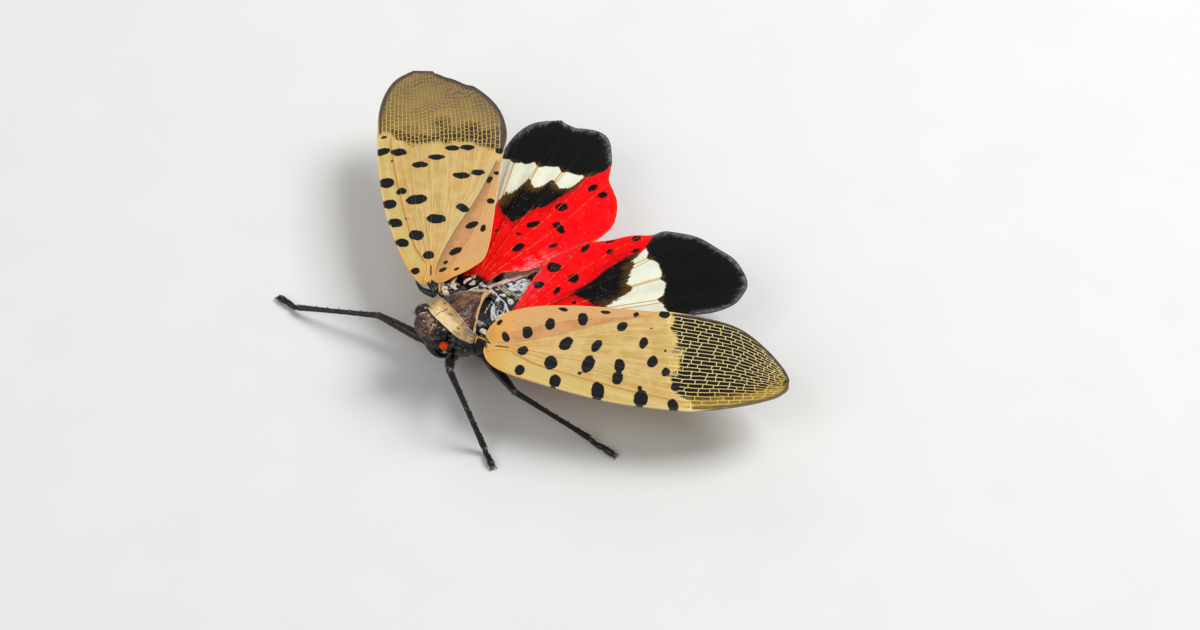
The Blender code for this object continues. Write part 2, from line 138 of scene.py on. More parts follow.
def tube(points, radii, sides, up=(0, 0, 1), heights=None, ends=1.0):     # radii run along the whole line
    line = np.asarray(points, float)
    share = np.linspace(0, 1, len(line))
    thin = np.where((share == 0) | (share == 1), ends, 1.0)
    across, tall = ((thin * np.interp(share, np.linspace(0, 1, len(sizes)), sizes))[:, None, None]
                    for sizes in (radii, radii if heights is None else heights))
    right = unit(np.cross(unit(np.gradient(line, axis=0)), up))
    over = np.cross(right, unit(np.gradient(line, axis=0)))
    angles = 2 * math.pi * np.arange(sides)[:, None] / sides
    rings = line[:, None] + across * np.cos(angles) * right[:, None] + tall * np.sin(angles) * over[:, None]
    faces = gridFaces(len(line), sides, wrap=True, flip=True)
    faces += [list(range(sides)), [(len(line) - 1) * sides + side for side in reversed(range(sides))]]
    return rings, faces


def ball(centre, radii, rows=48, columns=72):
    up, around = np.meshgrid(np.linspace(0, math.pi, rows), 2 * math.pi * np.arange(columns) / columns,
                             indexing="ij")
    unitBall = np.stack([np.sin(up) * np.cos(around), np.sin(up) * np.sin(around), np.cos(up)], -1)
    return centre + unitBall * radii, gridFaces(rows, columns, wrap=True, flip=True)


class Bag:
    # gathers grids, tubes and hairs into one piece, with named values for every point
    def __init__(self):
        self.points, self.faces, self.slots, self.fields, self.count = [], [], [], [], 0

    def add(self, points, faces, slot=0, **fields):
        points = np.reshape(points, (-1, 3))
        self.points.append(points)
        self.faces += [[corner + self.count for corner in face] for face in faces]
        self.slots += [slot] * len(faces)
        self.fields.append({name: np.broadcast_to(np.ravel(values), len(points))
                            for name, values in fields.items()})
        self.count += len(points)

    def make(self, name, materials, slot, replaces=(), flat=None, sharp=40):
        mesh = bpy.data.meshes.new(name)
        points = (np.concatenate(self.points) + bodyShift) * mm
        mesh.from_pydata(points.tolist(), [], self.faces)
        for material in materials:
            mesh.materials.append(material)
        mesh.polygons.foreach_set("material_index", self.slots)
        for key in sorted({key for fields in self.fields for key in fields}):
            values = [fields.get(key, np.zeros(len(part))) for fields, part in zip(self.fields, self.points)]
            layer = mesh.attributes.new(key, "FLOAT", "POINT")
            layer.data.foreach_set("value", np.concatenate(values).astype(np.float32))
        if flat is not None:            # where every point lies on the layout that the finish is baked on
            corners = np.zeros(len(mesh.loops), int)
            mesh.loops.foreach_get("vertex_index", corners)
            mesh.uv_layers.new(name="OFBake").data.foreach_set("uv", flat[corners].astype(np.float32).ravel())
        mesh.shade_smooth()
        mesh.set_sharp_from_angle(angle=math.radians(sharp))
        piece = bpy.data.objects.new(name, mesh)
        bpy.context.scene.collection.objects.link(piece)
        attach(piece, "root")
        if replaces:
            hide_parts(*replaces)


# Finishes

class Wire:
    # one output socket, so that masks are written as sums and products
    def __init__(self, paint, socket):
        self.paint, self.socket = paint, socket

    def math(self, operation, *others):
        return self.paint.node("Math", {"operation": operation}, dict(enumerate((self, *others))))

    def __add__(self, other):
        return self.math("ADD", other)

    def __sub__(self, other):
        return self.math("SUBTRACT", other)

    def __rsub__(self, other):
        return self * -1.0 + other

    def __mul__(self, other):
        return self.math("MULTIPLY", other)

    def __abs__(self):
        return self.math("ABSOLUTE")

    def step(self, start, end):         # 0 to 1 between start and end, smooth
        limits = {"Value": self, "From Min": start, "From Max": end}
        return self.paint.node("MapRange", {"interpolation_type": "SMOOTHSTEP"}, limits)

    __radd__, __rmul__ = __add__, __mul__


class Finish:
    # one material: a Principled shader, the nodes that feed it, and its shades by name
    def __init__(self, name, constants, shades=None):
        self.material = bpy.data.materials.new(name)
        self.material.use_nodes = True
        self.tree, self.shades = self.material.node_tree, shades
        self.shader = self.tree.nodes["Principled BSDF"]
        for socket, value in constants.items():
            self.shader.inputs[socket].default_value = value

    def node(self, kind, settings, values, output=0):
        node = self.tree.nodes.new("ShaderNode" + kind)
        for key, value in settings.items():
            setattr(node, key, value)
        for key, value in values.items():
            if isinstance(value, Wire):
                self.tree.links.new(value.socket, node.inputs[key])
            else:
                node.inputs[key].default_value = (*value, 1.0) if node.inputs[key].type == "RGBA" else value
        return Wire(self, node.outputs[output])

    def fields(self, *names):           # the values that the piece's points hold under these names
        return [self.node("Attribute", {"attribute_name": name}, {}, "Fac") for name in names]

    def place(self):                    # the point in mm
        return self.node("VectorMath", {"operation": "MULTIPLY"},
                         {0: self.node("TexCoord", {}, {}, "Object"), 1: [1 / mm] * 3})

    def speckle(self, size, detail):    # lumps about this many mm wide
        return self.node("TexNoise", {}, {"Vector": self.place(), "Scale": 1 / size, "Detail": detail})

    def cells(self, size):
        return self.node("TexVoronoi", {}, {"Vector": self.place(), "Scale": 1 / size})

    def streaks(self, x, y, scale, detail):     # noise along two stretched fields
        place = self.node("CombineXYZ", {}, {"X": x, "Y": y})
        return self.node("TexNoise", {}, {"Vector": place, "Scale": scale, "Detail": detail})

    def mix(self, share, first, second):        # the node's sockets for colours are 6 and 7, and out 2
        first, second = (self.shades[shade] if isinstance(shade, str) else shade for shade in (first, second))
        return self.node("Mix", {"data_type": "RGBA"}, {0: share, 6: first, 7: second}, 2)

    def layers(self, colour, *coats):   # each coat is (share, shade), over the ones before it
        for share, shade in coats:
            colour = self.mix(share, colour, shade)
        return colour

    def feed(self, colour, roughness=None, relief=None, coat=None):
        # relief is the height, its depth in mm, and the strength
        wires = {"Base Color": colour, "Roughness": roughness, "Coat Weight": coat}
        if relief:
            height, depth, strength = relief
            values = {"Height": height, "Distance": depth * mm, "Strength": strength}
            wires["Normal"] = self.node("Bump", {}, values)
        for socket, wire in wires.items():
            if wire:
                self.tree.links.new(wire.socket, self.shader.inputs[socket])
        return self.material


# Wings: the same pose and outline as the solids, in (along the span, across the chord).
# Wear is (from, to, depth) for each small bite out of the far margin.

wings = {
    "forewing_left": {
        "side": 1, "root": (3.4, -0.1, 5.0), "sweep": 45.8, "rise": -1.0, "twist": 3.0, "camber": 0.35,
        "leading": [(0.05, -0.55), (0.5, -1.42), (1.6, -2.1), (4.0, -2.7), (7.6, -3.35), (11.2, -3.68),
                    (14.8, -3.55), (18.0, -2.75), (20.2, -1.8), (21.0, -1.15), (21.25, -0.7)],
        "hind": [(0.1, 0.45), (0.1, 1.3), (0.5, 2.25), (1.25, 3.4), (3.3, 4.35), (7.3, 4.93), (11.5, 5.12),
                 (14.6, 4.98), (17.1, 4.36), (19.2, 2.68), (20.7, 0.95), (21.22, -0.05)],
        "wear": []},
    "forewing_right": {
        "side": -1, "root": (-3.4, 0.25, 5.0), "sweep": 34.3, "rise": 4.0, "twist": 6.0, "camber": 0.35,
        "leading": [(0.05, -0.45), (0.5, -1.0), (1.8, -1.7), (4.0, -2.46), (7.6, -3.35), (11.0, -3.75),
                    (14.4, -3.9), (17.6, -3.7), (19.8, -2.75), (20.75, -1.2)],
        "hind": [(0.15, 0.4), (0.35, 1.2), (1.6, 2.9), (3.0, 3.85), (7.6, 4.5), (11.2, 4.95), (14.0, 5.4),
                 (16.7, 4.75), (18.9, 2.85), (20.5, 0.3)],
        "wear": [(0.1, 2.6, 0.24), (0.75, 0.95, 0.07), (2.0, 2.2, 0.06)]},
    "hindwing_left": {
        "side": 1, "root": (2.1, 2.3, 4.3), "sweep": 53.0, "rise": -2.0, "twist": 3.0, "camber": 0.0,
        "leading": [(0.0, -0.9), (2.6, -1.5), (6.0, -1.3), (9.5, -0.3), (13.0, 1.55), (14.7, 2.0),
                    (16.15, 2.8), (16.9, 3.9), (17.12, 4.6)],
        "hind": [(0.1, 1.0), (0.9, 1.9), (2.1, 4.4), (3.3, 6.4), (5.0, 7.6), (7.9, 8.55), (10.2, 8.9),
                 (11.5, 9.4), (13.8, 8.75), (15.9, 7.2), (16.85, 5.8), (17.12, 4.75)],
        "wear": []},
    "hindwing_right": {
        "side": -1, "root": (-2.1, 2.3, 4.1), "sweep": 36.0, "rise": 0.0, "twist": -1.0, "camber": 0.0,
        "leading": [(0.0, -0.9), (2.7, -1.4), (6.2, -1.1), (9.8, 0.1), (13.9, 2.1), (15.9, 3.1),
                    (17.2, 4.4), (17.62, 5.5)],
        "hind": [(0.1, 0.9), (1.95, 2.3), (2.2, 4.2), (3.4, 6.4), (5.4, 9.2), (7.2, 10.3), (9.4, 10.5),
                 (11.4, 9.95), (13.5, 10.15), (16.0, 9.8), (16.8, 8.1), (17.6, 6.4)],
        "wear": [(6.5, 7.6, 0.2)]}}


def insideBy(spots, corners):           # distance into a patch, negative outside it
    ring = np.array([*corners, corners[0]], float)
    inside = np.zeros(len(spots), bool)
    for (u0, v0), (u1, v1) in zip(ring[:-1], ring[1:]):
        if v0 != v1:
            crosses = (v0 > spots[:, 1]) != (v1 > spots[:, 1])
            inside ^= crosses & (spots[:, 0] < (u1 - u0) * (spots[:, 1] - v0) / (v1 - v0) + u0)
    return np.where(inside, 1, -1) * lineDistance(spots, ring)


class Wing:
    def __init__(self, name, relief=lambda wing, spots: 0.0):
        sizes = wings[name]
        self.name, self.relief, self.side = name, relief, sizes["side"]
        self.wear, self.camber = sizes["wear"], sizes["camber"]
        sweep, rise, twist = (math.radians(sizes[key]) for key in ("sweep", "rise", "twist"))
        self.root = np.array(sizes["root"])
        self.span = np.array([self.side * math.cos(sweep) * math.cos(rise),
                              math.sin(sweep) * math.cos(rise), math.sin(rise)])
        level = np.array([-self.side * math.sin(sweep), math.cos(sweep), 0.0])
        self.chord = level * math.cos(twist) + np.cross(self.span, level) * self.side * math.sin(twist)
        self.up = np.cross(self.span, self.chord) * self.side
        self.leading, self.hind = smoothThrough(sizes["leading"], 241), smoothThrough(sizes["hind"], 241)
        self.widest = max(abs(self.leading[:, 1]).max(), abs(self.hind[:, 1]).max())
        self.outline = np.vstack([self.leading[::4], self.hind[::-4]])
        self.length = self.outline[:, 0].max()

    def worn(self, spots):              # small bites out of the far margin
        u, v = spots.T.copy()
        for start, end, depth in self.wear:
            u -= depth * ramp(u, 14.5, 18.0) * ramp(v, start, start + 0.25) * ramp(v, end + 0.5, end)
        return np.c_[u, v]

    def lift(self, spots, height=0.0):  # (u, v) to a point, height above the wing's middle
        u, v = spots[:, :1], spots[:, 1:]
        rise = np.reshape(height + self.relief(self, spots), (-1, 1)) - self.camber * (v / self.widest) ** 2
        return self.root + self.span * u + self.chord * v + self.up * rise

    def spotsAt(self, shareLong, shareCross):   # shares of the way out and across to (u, v)
        place = shareLong * (len(self.leading) - 1)
        index = np.minimum(place.astype(int), len(self.leading) - 2)
        part = (place - index)[:, None]
        front, back = (edge[index] * (1 - part) + edge[index + 1] * part
                       for edge in (self.leading, self.hind))
        return front + (back - front) * shareCross[:, None]

    def margins(self, u):               # v of the leading and the hind edge at each u
        return np.interp(u, *self.leading.T), np.interp(u, *self.hind.T)


def makeMembrane(wing, sizes, fieldsOf, material, slot):
    spots = wing.spotsAt(*(share.ravel() for share in grid(sizes["steps"])))
    fields = fieldsOf(wing, spots)
    spots = wing.worn(spots)
    half = sizes["thickness"] * (0.35 + 0.65 * ramp(fields["edge"], 0.0, 0.5)) / 2
    if "net" in fields:                 # the tip is thinner
        half = half * (1 - 0.45 * ramp(fields["net"], -1.0, 0.3))
    bag = Bag()
    bag.add(np.vstack([wing.lift(spots, half), wing.lift(spots, -half)]),
            plateFaces(*sizes["steps"], flip=wing.side > 0),
            **{name: np.tile(values, 2) for name, values in fields.items()})
    sheet = (spots - spots.min(0)) / np.ptp(spots[:, 0]) * 0.98 + 0.01
    flat = np.vstack([sheet, sheet + (0.0, 0.5)])    # the lower face is laid out above the upper one
    bag.make(wing.name, [material], slot, [wing.name], flat=flat, sharp=70)


def addVein(bag, wing, spots, radii, fieldsOf, heights, sides=6, ends=0.35):
    points, faces = tube(wing.lift(wing.worn(spots)), radii, sides, up=wing.up, heights=heights, ends=ends)
    fields = fieldsOf(wing, spots)
    bag.add(points, faces, **{name: np.repeat(values, sides) for name, values in fields.items()})


def untilFalse(spots, inside):          # the first spots, as far as they are inside
    return spots if inside.all() else spots[:int(np.argmin(inside))]


# Forewings

forewing = {
    "thickness": 0.11,
    "steps": (230, 100),
    "radial": [(0.3, -0.6), (1.2, -0.35), (2.0, -0.4), (3.6, -1.1), (5.4, -1.55), (8.0, -2.05),
               (11.0, -2.55), (13.6, -2.85)],
    "claval": [(0.9, 0.25), (2.0, 0.45), (3.6, 1.05), (5.2, 1.8), (7.6, 3.1), (9.7, 4.0), (11.4, 4.7)],
    "anal": [(0.9, 1.2), (2.3, 1.75), (4.2, 2.75), (6.2, 3.55), (8.6, 4.15), (10.3, 4.5)],
    "fork": [[(1.95, -0.42), (1.85, -0.1), (1.9, 0.25)], [(1.9, 0.25), (1.3, 0.2), (0.5, 0.16)]],
    "branches": [
        [(1.9, -0.3), (3.0, -0.35), (5.2, -0.75), (7.0, -1.2), (9.6, -1.7), (11.8, -2.05), (13.7, -2.3)],
        [(6.2, -1.0), (8.2, -1.2), (10.4, -1.35), (12.0, -1.45), (13.7, -1.55)],
        [(1.9, -0.1), (3.2, -0.1), (5.4, -0.3), (7.4, -0.5), (9.8, -0.65), (12.0, -0.75), (13.7, -0.8)],
        [(4.4, -0.2), (6.6, 0.0), (9.0, 0.05), (11.6, -0.05), (13.7, -0.05)],
        [(1.9, 0.1), (3.2, 0.35), (5.2, 0.7), (7.6, 0.85), (10.2, 0.85), (13.6, 0.7)],
        [(5.8, 0.8), (7.6, 1.25), (9.8, 1.5), (11.8, 1.55), (13.5, 1.5)],
        [(1.9, 0.2), (3.6, 0.75), (5.6, 1.45), (7.6, 2.05), (9.8, 2.3), (11.8, 2.35), (13.3, 2.3)],
        [(6.6, 1.85), (8.6, 2.65), (10.6, 3.0), (12.0, 3.1), (13.1, 3.1)],
        [(7.4, 2.5), (9.0, 3.3), (10.8, 3.75), (12.7, 3.95)]],
    "netStart": [(-4.2, 14.9), (-3.0, 14.7), (-2.6, 14.0), (-1.6, 13.35), (0.0, 13.3), (1.6, 13.3),
                 (2.9, 13.0), (4.3, 12.4), (5.6, 12.2)],
    # rows of cells toward the tip: pitch, cell lengths at the start and the tip, half width of the lines
    "net": {"forewing_left": {"pitch": 0.36, "cells": (0.95, 0.6), "line": 0.07, "dull": 0.0, "fan": 0.82,
                              "before": 1.2},
            "forewing_right": {"pitch": 0.3, "cells": (0.4, 0.3), "line": 0.07, "dull": 1.0, "fan": 0.4,
                               "before": 0.35}}}

# (along, across, half length, half width, tilt) of each black spot
forewingSpots = {
    "forewing_left": [
        (1.36, 0.88, 0.25, 0.43, 20), (2.78, 1.64, 0.34, 0.58, 10), (4.21, 2.67, 0.32, 0.58, 4),
        (6.39, 3.54, 0.33, 0.62, 8), (4.9, 4.25, 0.3, 0.19, -18), (0.76, 2.18, 0.13, 0.27, -16),
        (2.75, -0.22, 0.32, 0.42, -25), (4.81, -0.95, 0.42, 0.6, 4), (2.81, -1.87, 0.31, 0.41, -5),
        (5.34, -2.5, 0.38, 0.56, 4), (5.59, 0.9, 0.39, 0.63, -18), (7.38, -0.73, 0.41, 0.77, -8),
        (6.91, -1.59, 0.14, 0.17, 0), (7.72, 1.03, 0.31, 0.55, -12), (7.82, 4.5, 0.3, 0.17, 10),
        (9.98, 4.64, 0.18, 0.28, -3), (11.93, 4.84, 0.36, 0.42, 0), (9.2, 3.13, 0.32, 0.47, -12),
        (10.87, 1.78, 0.28, 0.5, -6), (11.71, 0.2, 0.34, 0.52, -7), (12.75, -0.59, 0.28, 0.38, 6),
        (13.55, -1.79, 0.28, 0.36, 10), (9.53, -0.52, 0.35, 0.55, 4), (9.55, -1.62, 0.36, 0.55, -4),
        (8.36, -2.9, 0.43, 0.74, 9), (11.36, -3.1, 0.47, 0.7, 1), (11.15, -2.23, 0.12, 0.13, 0),
        (13.62, -3.35, 0.34, 0.5, 21), (11.2, 3.24, 0.08, 0.08, 0), (12.44, 1.31, 0.07, 0.07, 0)],
    "forewing_right": [
        (13.11, -3.6, 0.33, 0.55, -12), (10.07, -3.27, 0.44, 0.57, 18), (8.02, -3.06, 0.42, 0.52, 20),
        (6.15, -2.61, 0.38, 0.54, 30), (4.2, -2.14, 0.35, 0.48, 32), (1.44, -1.2, 0.27, 0.33, 40),
        (12.82, -2.37, 0.34, 0.57, 5), (9.05, -2.16, 0.29, 0.36, 0), (12.03, -2.87, 0.1, 0.12, 0),
        (14.55, -3.46, 0.12, 0.2, 0), (11.43, -0.81, 0.28, 0.54, 4), (8.08, -1.09, 0.43, 0.75, -1),
        (4.76, -1.1, 0.45, 0.56, 25), (2.74, -0.23, 0.36, 0.4, 20), (6.4, -1.78, 0.08, 0.12, 0),
        (12.02, 0.38, 0.26, 0.56, 8), (6.13, 0.3, 0.41, 0.68, 9), (12.77, 1.52, 0.25, 0.48, 9),
        (12.72, 2.61, 0.24, 0.46, 5), (10.06, 2.13, 0.28, 0.58, 10), (10.28, 3.32, 0.26, 0.5, 0),
        (6.97, 2.19, 0.31, 0.51, 38), (12.31, 4.87, 0.23, 0.27, 0), (10.3, 4.62, 0.15, 0.18, 0),
        (9.65, 4.16, 0.15, 0.29, -62), (7.66, 4.17, 0.24, 0.28, 0), (5.39, 2.83, 0.27, 0.46, -21),
        (5.04, 3.62, 0.17, 0.3, -70), (3.07, 1.68, 0.27, 0.46, -34), (2.05, 0.95, 0.13, 0.21, -50),
        (1.31, 0.76, 0.18, 0.26, -42), (1.32, 1.73, 0.1, 0.2, -41)]}


def spotField(spots, blots):            # mm outside the nearest black spot, negative inside it
    best = np.full(len(spots), 9.0)
    for u, v, long, wide, tilt in blots:
        turn = math.radians(tilt)
        du, dv = spots[:, 0] - u, spots[:, 1] - v
        along = (du * math.cos(turn) + dv * math.sin(turn)) / long
        across = (dv * math.cos(turn) - du * math.sin(turn)) / wide
        best = np.minimum(best, (np.hypot(along, across) - 1) * min(long, wide))
    return best


forewingLines = [smoothThrough(line, 40) for line in
                 (forewing["radial"], forewing["claval"], forewing["anal"], *forewing["branches"])]
radialLine, clavalLine, analLine, *branchLines = forewingLines


def pastClaval(u, v):                   # mm behind the line that the clavus starts at
    return v - np.interp(u, *clavalLine.T, left=0.2, right=9)


def netStart(v):                        # u of the net's first cells
    return np.interp(v, *np.transpose(forewing["netStart"]))


def forewingFields(wing, spots):
    u, v = spots.T
    return {"spot": spotField(spots, forewingSpots[wing.name]), "net": u - netStart(v),
            "edge": lineDistance(spots, wing.outline), "vein": lineDistance(spots, *forewingLines),
            "suture": lineDistance(spots, clavalLine), "clavus": pastClaval(u, v),
            "anal": v - np.interp(u, *analLine.T, left=1.3),
            "costal": np.interp(u, *radialLine.T, left=-0.5) - v, "front": v - wing.margins(u)[0],
            "along": u, "across": v, "fan": 12 * (v - 0.05) / (u + 4),
            "dull": np.full(len(spots), forewing["net"][wing.name]["dull"])}


def forewingRelief(wing, spots):
    u, v = spots.T
    valley = -0.035 * ramp(lineDistance(spots, *forewingLines), 0.0, 0.4) * ramp(u, 0.5, 3.0)
    wave = 0.03 * np.sin(u * 0.9) * np.cos(v * 0.8)
    ledge = -0.12 * ramp(pastClaval(u, v), -0.08, 0.16) * ramp(u, 0.5, 2.0)
    boss = 0.14 * bell(np.hypot(u - 0.7, (v - 1.2) * 0.8), 0.6)
    return valley + wave + ledge + boss


def addNet(bag, wing):                  # rows of small brick-like cells out to the margin
    sizes = forewing["net"][wing.name]
    thick, tall = [sizes["line"] * 0.8] * 2, (0.062, 0.062)
    rows = []
    for v in np.arange(-3.9, 5.6, sizes["pitch"]):
        u = np.arange(netStart(v) - sizes["before"] * dice.uniform(0.4, 1.3), 21.1, 0.2)
        front, back = wing.margins(u)
        place = (v - front[0]) / (back[0] - front[0])
        if not 0.01 < place < 0.99:
            rows.append(None)
            continue
        fan = front + (back - front) * place
        line = v + (fan - v) * sizes["fan"] + 0.06 * grain(np.c_[u, u * 0 + v, u * 0], 0.55)
        inside = (line - front > 0.12) & (back - line > 0.12) & (u < wing.length - 0.15)
        row = untilFalse(np.c_[u, line], inside)
        rows.append(row if len(row) > 3 else None)
    for row in rows:
        if row is not None:
            addVein(bag, wing, row, (sizes["line"], sizes["line"] * 0.8), forewingFields, tall, sides=4)
    for lower, upper in zip(rows[:-1], rows[1:]):
        if lower is None or upper is None:
            continue
        u = max(lower[0, 0], upper[0, 0]) + dice.uniform(0.05, 0.5)
        while u < min(lower[-1, 0], upper[-1, 0]):
            across = [(u, np.interp(u, *lower.T)), (u + dice.uniform(-0.12, 0.12), np.interp(u, *upper.T))]
            addVein(bag, wing, np.array(across), thick, forewingFields, tall, sides=4, ends=1.0)
            u += np.interp(u, (13, 20), sizes["cells"]) * dice.uniform(0.65, 1.4)


def waves(paint, along, net):           # fine wavy lines across the dull tip
    wave = (along * 19.0 + paint.speckle(2.2, 2.0) * 34.0).math("SINE")
    return wave.step(0.1, 0.7) * net.step(1.0, 2.4) * paint.speckle(1.5, 1.0).step(0.4, 0.6)


def forewingPaint():
    paint = Finish("forewingMembrane", {"Specular IOR Level": 0.08}, forewingShades)
    spot, net, edge, vein, dull = paint.fields("spot", "net", "edge", "vein", "dull")
    along, across, fan, front = paint.fields("along", "across", "fan", "front")
    suture, anal, clavus, costal = paint.fields("suture", "anal", "clavus", "costal")
    mottle, fine = paint.speckle(0.9, 4.0), paint.speckle(0.12, 3.0)
    blotchy, rough = mottle - 0.5, fine - 0.5
    # from the root to the net
    clavusSkin = paint.layers("clavus", ((mottle + rough * 0.4).step(0.4, 0.65), "clavusDeep"),
                              ((anal + blotchy * 0.8).step(-0.1, 0.3), "clavusPale"))
    wrinkle = abs(paint.speckle(1.5, 3.0) - 0.5).step(0.014, 0.004) * 0.35 + abs(anal).step(0.07, 0.03) * 0.4
    streak = paint.streaks(along * 0.16, fan * 3.4, 1.0, 2.0).step(0.48, 0.62)
    # Painted highlight and painted shade at the right wing's claval ledge: ledge is a pale lit strip before
    # the suture, fold a dark shaded band just behind it
    ledge = clavus.step(-0.75, -0.15) * clavus.step(0.02, -0.03) * dull
    fold = clavus.step(0.7, 0.05) * clavus.step(-0.03, 0.02) * dull
    olive = paint.speckle(1.4, 3.0).step(0.5, 0.66) * along.step(5.0, 9.0)
    # painted shade: a dark line along the side of the raised radial vein
    radialVeinShade = costal.step(-0.02, 0.08) * costal.step(0.26, 0.1)
    gap = abs(across + 0.08).step(0.1, 0.05)
    skin = paint.layers(
        "corium",
        (mottle.step(0.3, 0.7), "coriumDeep"),
        (clavus.step(-0.03, 0.06), clavusSkin),
        (wrinkle * clavus.step(0.02, 0.12), "veinShadeAndWrinkle"),
        (costal.step(-0.05, 0.15) * 0.8, "costal"),
        (paint.speckle(0.35, 3.0).step(0.4, 0.7) * 0.22, "coriumDeep"),
        (streak * 0.4 * clavus.step(0.1, -0.1), "vein"),
        # the claval ledge's painted highlight and painted shade
        (ledge * 0.6 * along.step(1.5, 3.5), "ledge"),
        (fold * 0.65, "fold"),
        (olive * 0.4 * clavus.step(0.0, -0.8), "olive"),
        ((along + blotchy * 1.5).step(2.6, 0.4) * 0.8, "base"),
        # painted shade along the sides of the veins
        ((vein + fine * 0.06).step(0.13, 0.03) * 0.3, "veinShadeAndWrinkle"),
        (suture.step(0.055, 0.02) * 0.7, "suture"),
        (radialVeinShade * along.step(1.8, 2.4) * net.step(0.5, -0.5) * 0.75, "veinShadeAndWrinkle"),
        (gap * along.step(0.7, 1.0) * along.step(1.82, 1.7) * 0.8, "spot"),
        (edge.step(0.16, 0.02) * 0.6, "rim"),
        (fine.step(0.62, 0.75) * 0.25, "fleck"))
    # the net's cells, and then the black spots on both
    early = front.step(5.0, 1.5) * dull * 0.8
    far = (net - (1 - dull) * 6.5 + (paint.speckle(1.3, 2.0) - 0.5) * 4.5 + early).step(1.3, 2.7)
    cell = paint.layers(
        "cell",
        (dull, "cellDull"),
        (far * (0.5 + 0.5 * dull), "cellFar"),
        ((front + blotchy * 1.4).step(1.3, 0.5) * (0.75 - dull * 0.3), "cellGold"),
        (waves(paint, along, net) * dull * 0.7, "cellWave"),
        ((edge + blotchy * 2.0).step(2.4, 0.4) * 0.4 * dull, "margin"),
        ((edge + blotchy * 0.4 - dull * 0.1).step(0.34, 0.05) * 0.9, "margin"))
    inNet = (net + rough * 0.7 + blotchy * (2.2 - dull) - dull * 0.1).step(-0.15, 0.2)
    inSpot = (spot + (paint.speckle(0.45, 2.0) - 0.5) * 0.2).step(0.05, 0.0)
    height = fine * 0.5 + paint.speckle(0.4, 2.0) * 0.5
    colour = paint.layers(skin, (inNet, cell), (inSpot, "spot"))
    return paint.feed(colour, 0.5 + 0.16 * fine, (height, 0.05, 0.7))


def forewingVeinPaint():
    paint = Finish("forewingVeins", {"Specular IOR Level": 0.2, "Roughness": 0.5}, forewingShades)
    spot, net, edge, dull = paint.fields("spot", "net", "edge", "dull")
    along, costal, front = paint.fields("along", "costal", "front")
    lumpy = paint.speckle(0.7, 3.0) - 0.5
    golden = (front + lumpy * 1.4).step(3.0, 0.5) * net.step(0.0, 0.8)
    rim = (edge + lumpy * 0.4 - dull * 0.1).step(0.34, 0.05) * net.step(0.0, 2.0)
    return paint.feed(paint.layers(
        "veinBase",
        ((along + lumpy * 5.0).step(2.5, 6.0), "vein"),
        (abs(costal).step(0.12, 0.06) * 0.7, "veinBase"),
        (net.step(-0.9, -0.1), paint.mix(dull, "netVein", "netDull")),
        ((net + lumpy * 2.0 - (1 - dull) * 1.5).step(1.0, 5.0), paint.mix(dull, "netFar", "netDullFar")),
        (waves(paint, along, net) * dull * 0.5, "cellWave"),
        (golden * (0.7 - dull * 0.55), "netGold"),
        (rim * 0.85, "margin"),
        (spot.step(0.06, 0.0), "veinInSpot")))


forewingShades = {
    "corium": (0.69, 0.48, 0.18), "coriumDeep": (0.57, 0.36, 0.115), "clavus": (0.66, 0.32, 0.15),
    "clavusDeep": (0.54, 0.25, 0.10), "clavusPale": (0.68, 0.38, 0.155), "veinBase": (0.84, 0.44, 0.11),
    # ledge is a painted highlight on the claval ledge, fold the painted shade behind it
    "ledge": (0.62, 0.52, 0.26), "fold": (0.34, 0.19, 0.075),
    # veinShadeAndWrinkle is the brown of the clavus wrinkles and the painted shade beside the veins
    "costal": (0.66, 0.50, 0.17), "base": (0.72, 0.36, 0.07), "veinShadeAndWrinkle": (0.52, 0.25, 0.06),
    "olive": (0.52, 0.37, 0.06), "suture": (0.20, 0.11, 0.04), "rim": (0.70, 0.36, 0.08),
    "fleck": (0.80, 0.66, 0.36), "cell": (0.010, 0.008, 0.006), "cellFar": (0.31, 0.212, 0.078),
    "cellDull": (0.045, 0.038, 0.014), "cellWave": (0.16, 0.11, 0.05),
    "cellGold": (0.40, 0.26, 0.04), "margin": (0.085, 0.070, 0.063), "spot": (0.012, 0.012, 0.012),
    "vein": (0.80, 0.60, 0.28), "netVein": (1.00, 0.84, 0.37), "netFar": (0.95, 0.76, 0.35),
    "netGold": (0.88, 0.58, 0.13), "netDull": (0.70, 0.47, 0.155), "netDullFar": (0.44, 0.31, 0.12),
    "veinInSpot": (0.045, 0.040, 0.034)}


def makeForewings():
    membrane, veins = forewingPaint(), forewingVeinPaint()
    fork = [smoothThrough(line, 12) for line in forewing["fork"]]
    for name in ("forewing_left", "forewing_right"):
        wing = Wing(name, forewingRelief)
        makeMembrane(wing, forewing, forewingFields, membrane, "forewing")
        bag = Bag()
        addVein(bag, wing, radialLine, (0.095, 0.055, 0.05, 0.045), forewingFields, (0.17, 0.11, 0.09, 0.08))
        for line in (analLine, *branchLines, *fork):
            addVein(bag, wing, line, (0.05, 0.042, 0.036, 0.03), forewingFields, (0.11, 0.095, 0.085, 0.075))
        for edge, radii, heights in (("leading", (0.03, 0.07, 0.06, 0.04), (0.05, 0.1, 0.09, 0.07)),
                                     ("hind", (0.02, 0.05, 0.04), (0.03, 0.06, 0.06))):
            addVein(bag, wing, smoothThrough(wings[name][edge], 90)[1:], radii, forewingFields, heights)
        addNet(bag, wing)
        bag.make(name + "_veins", [veins], "forewing", sharp=80)
        print(name, "done")


# Hindwings

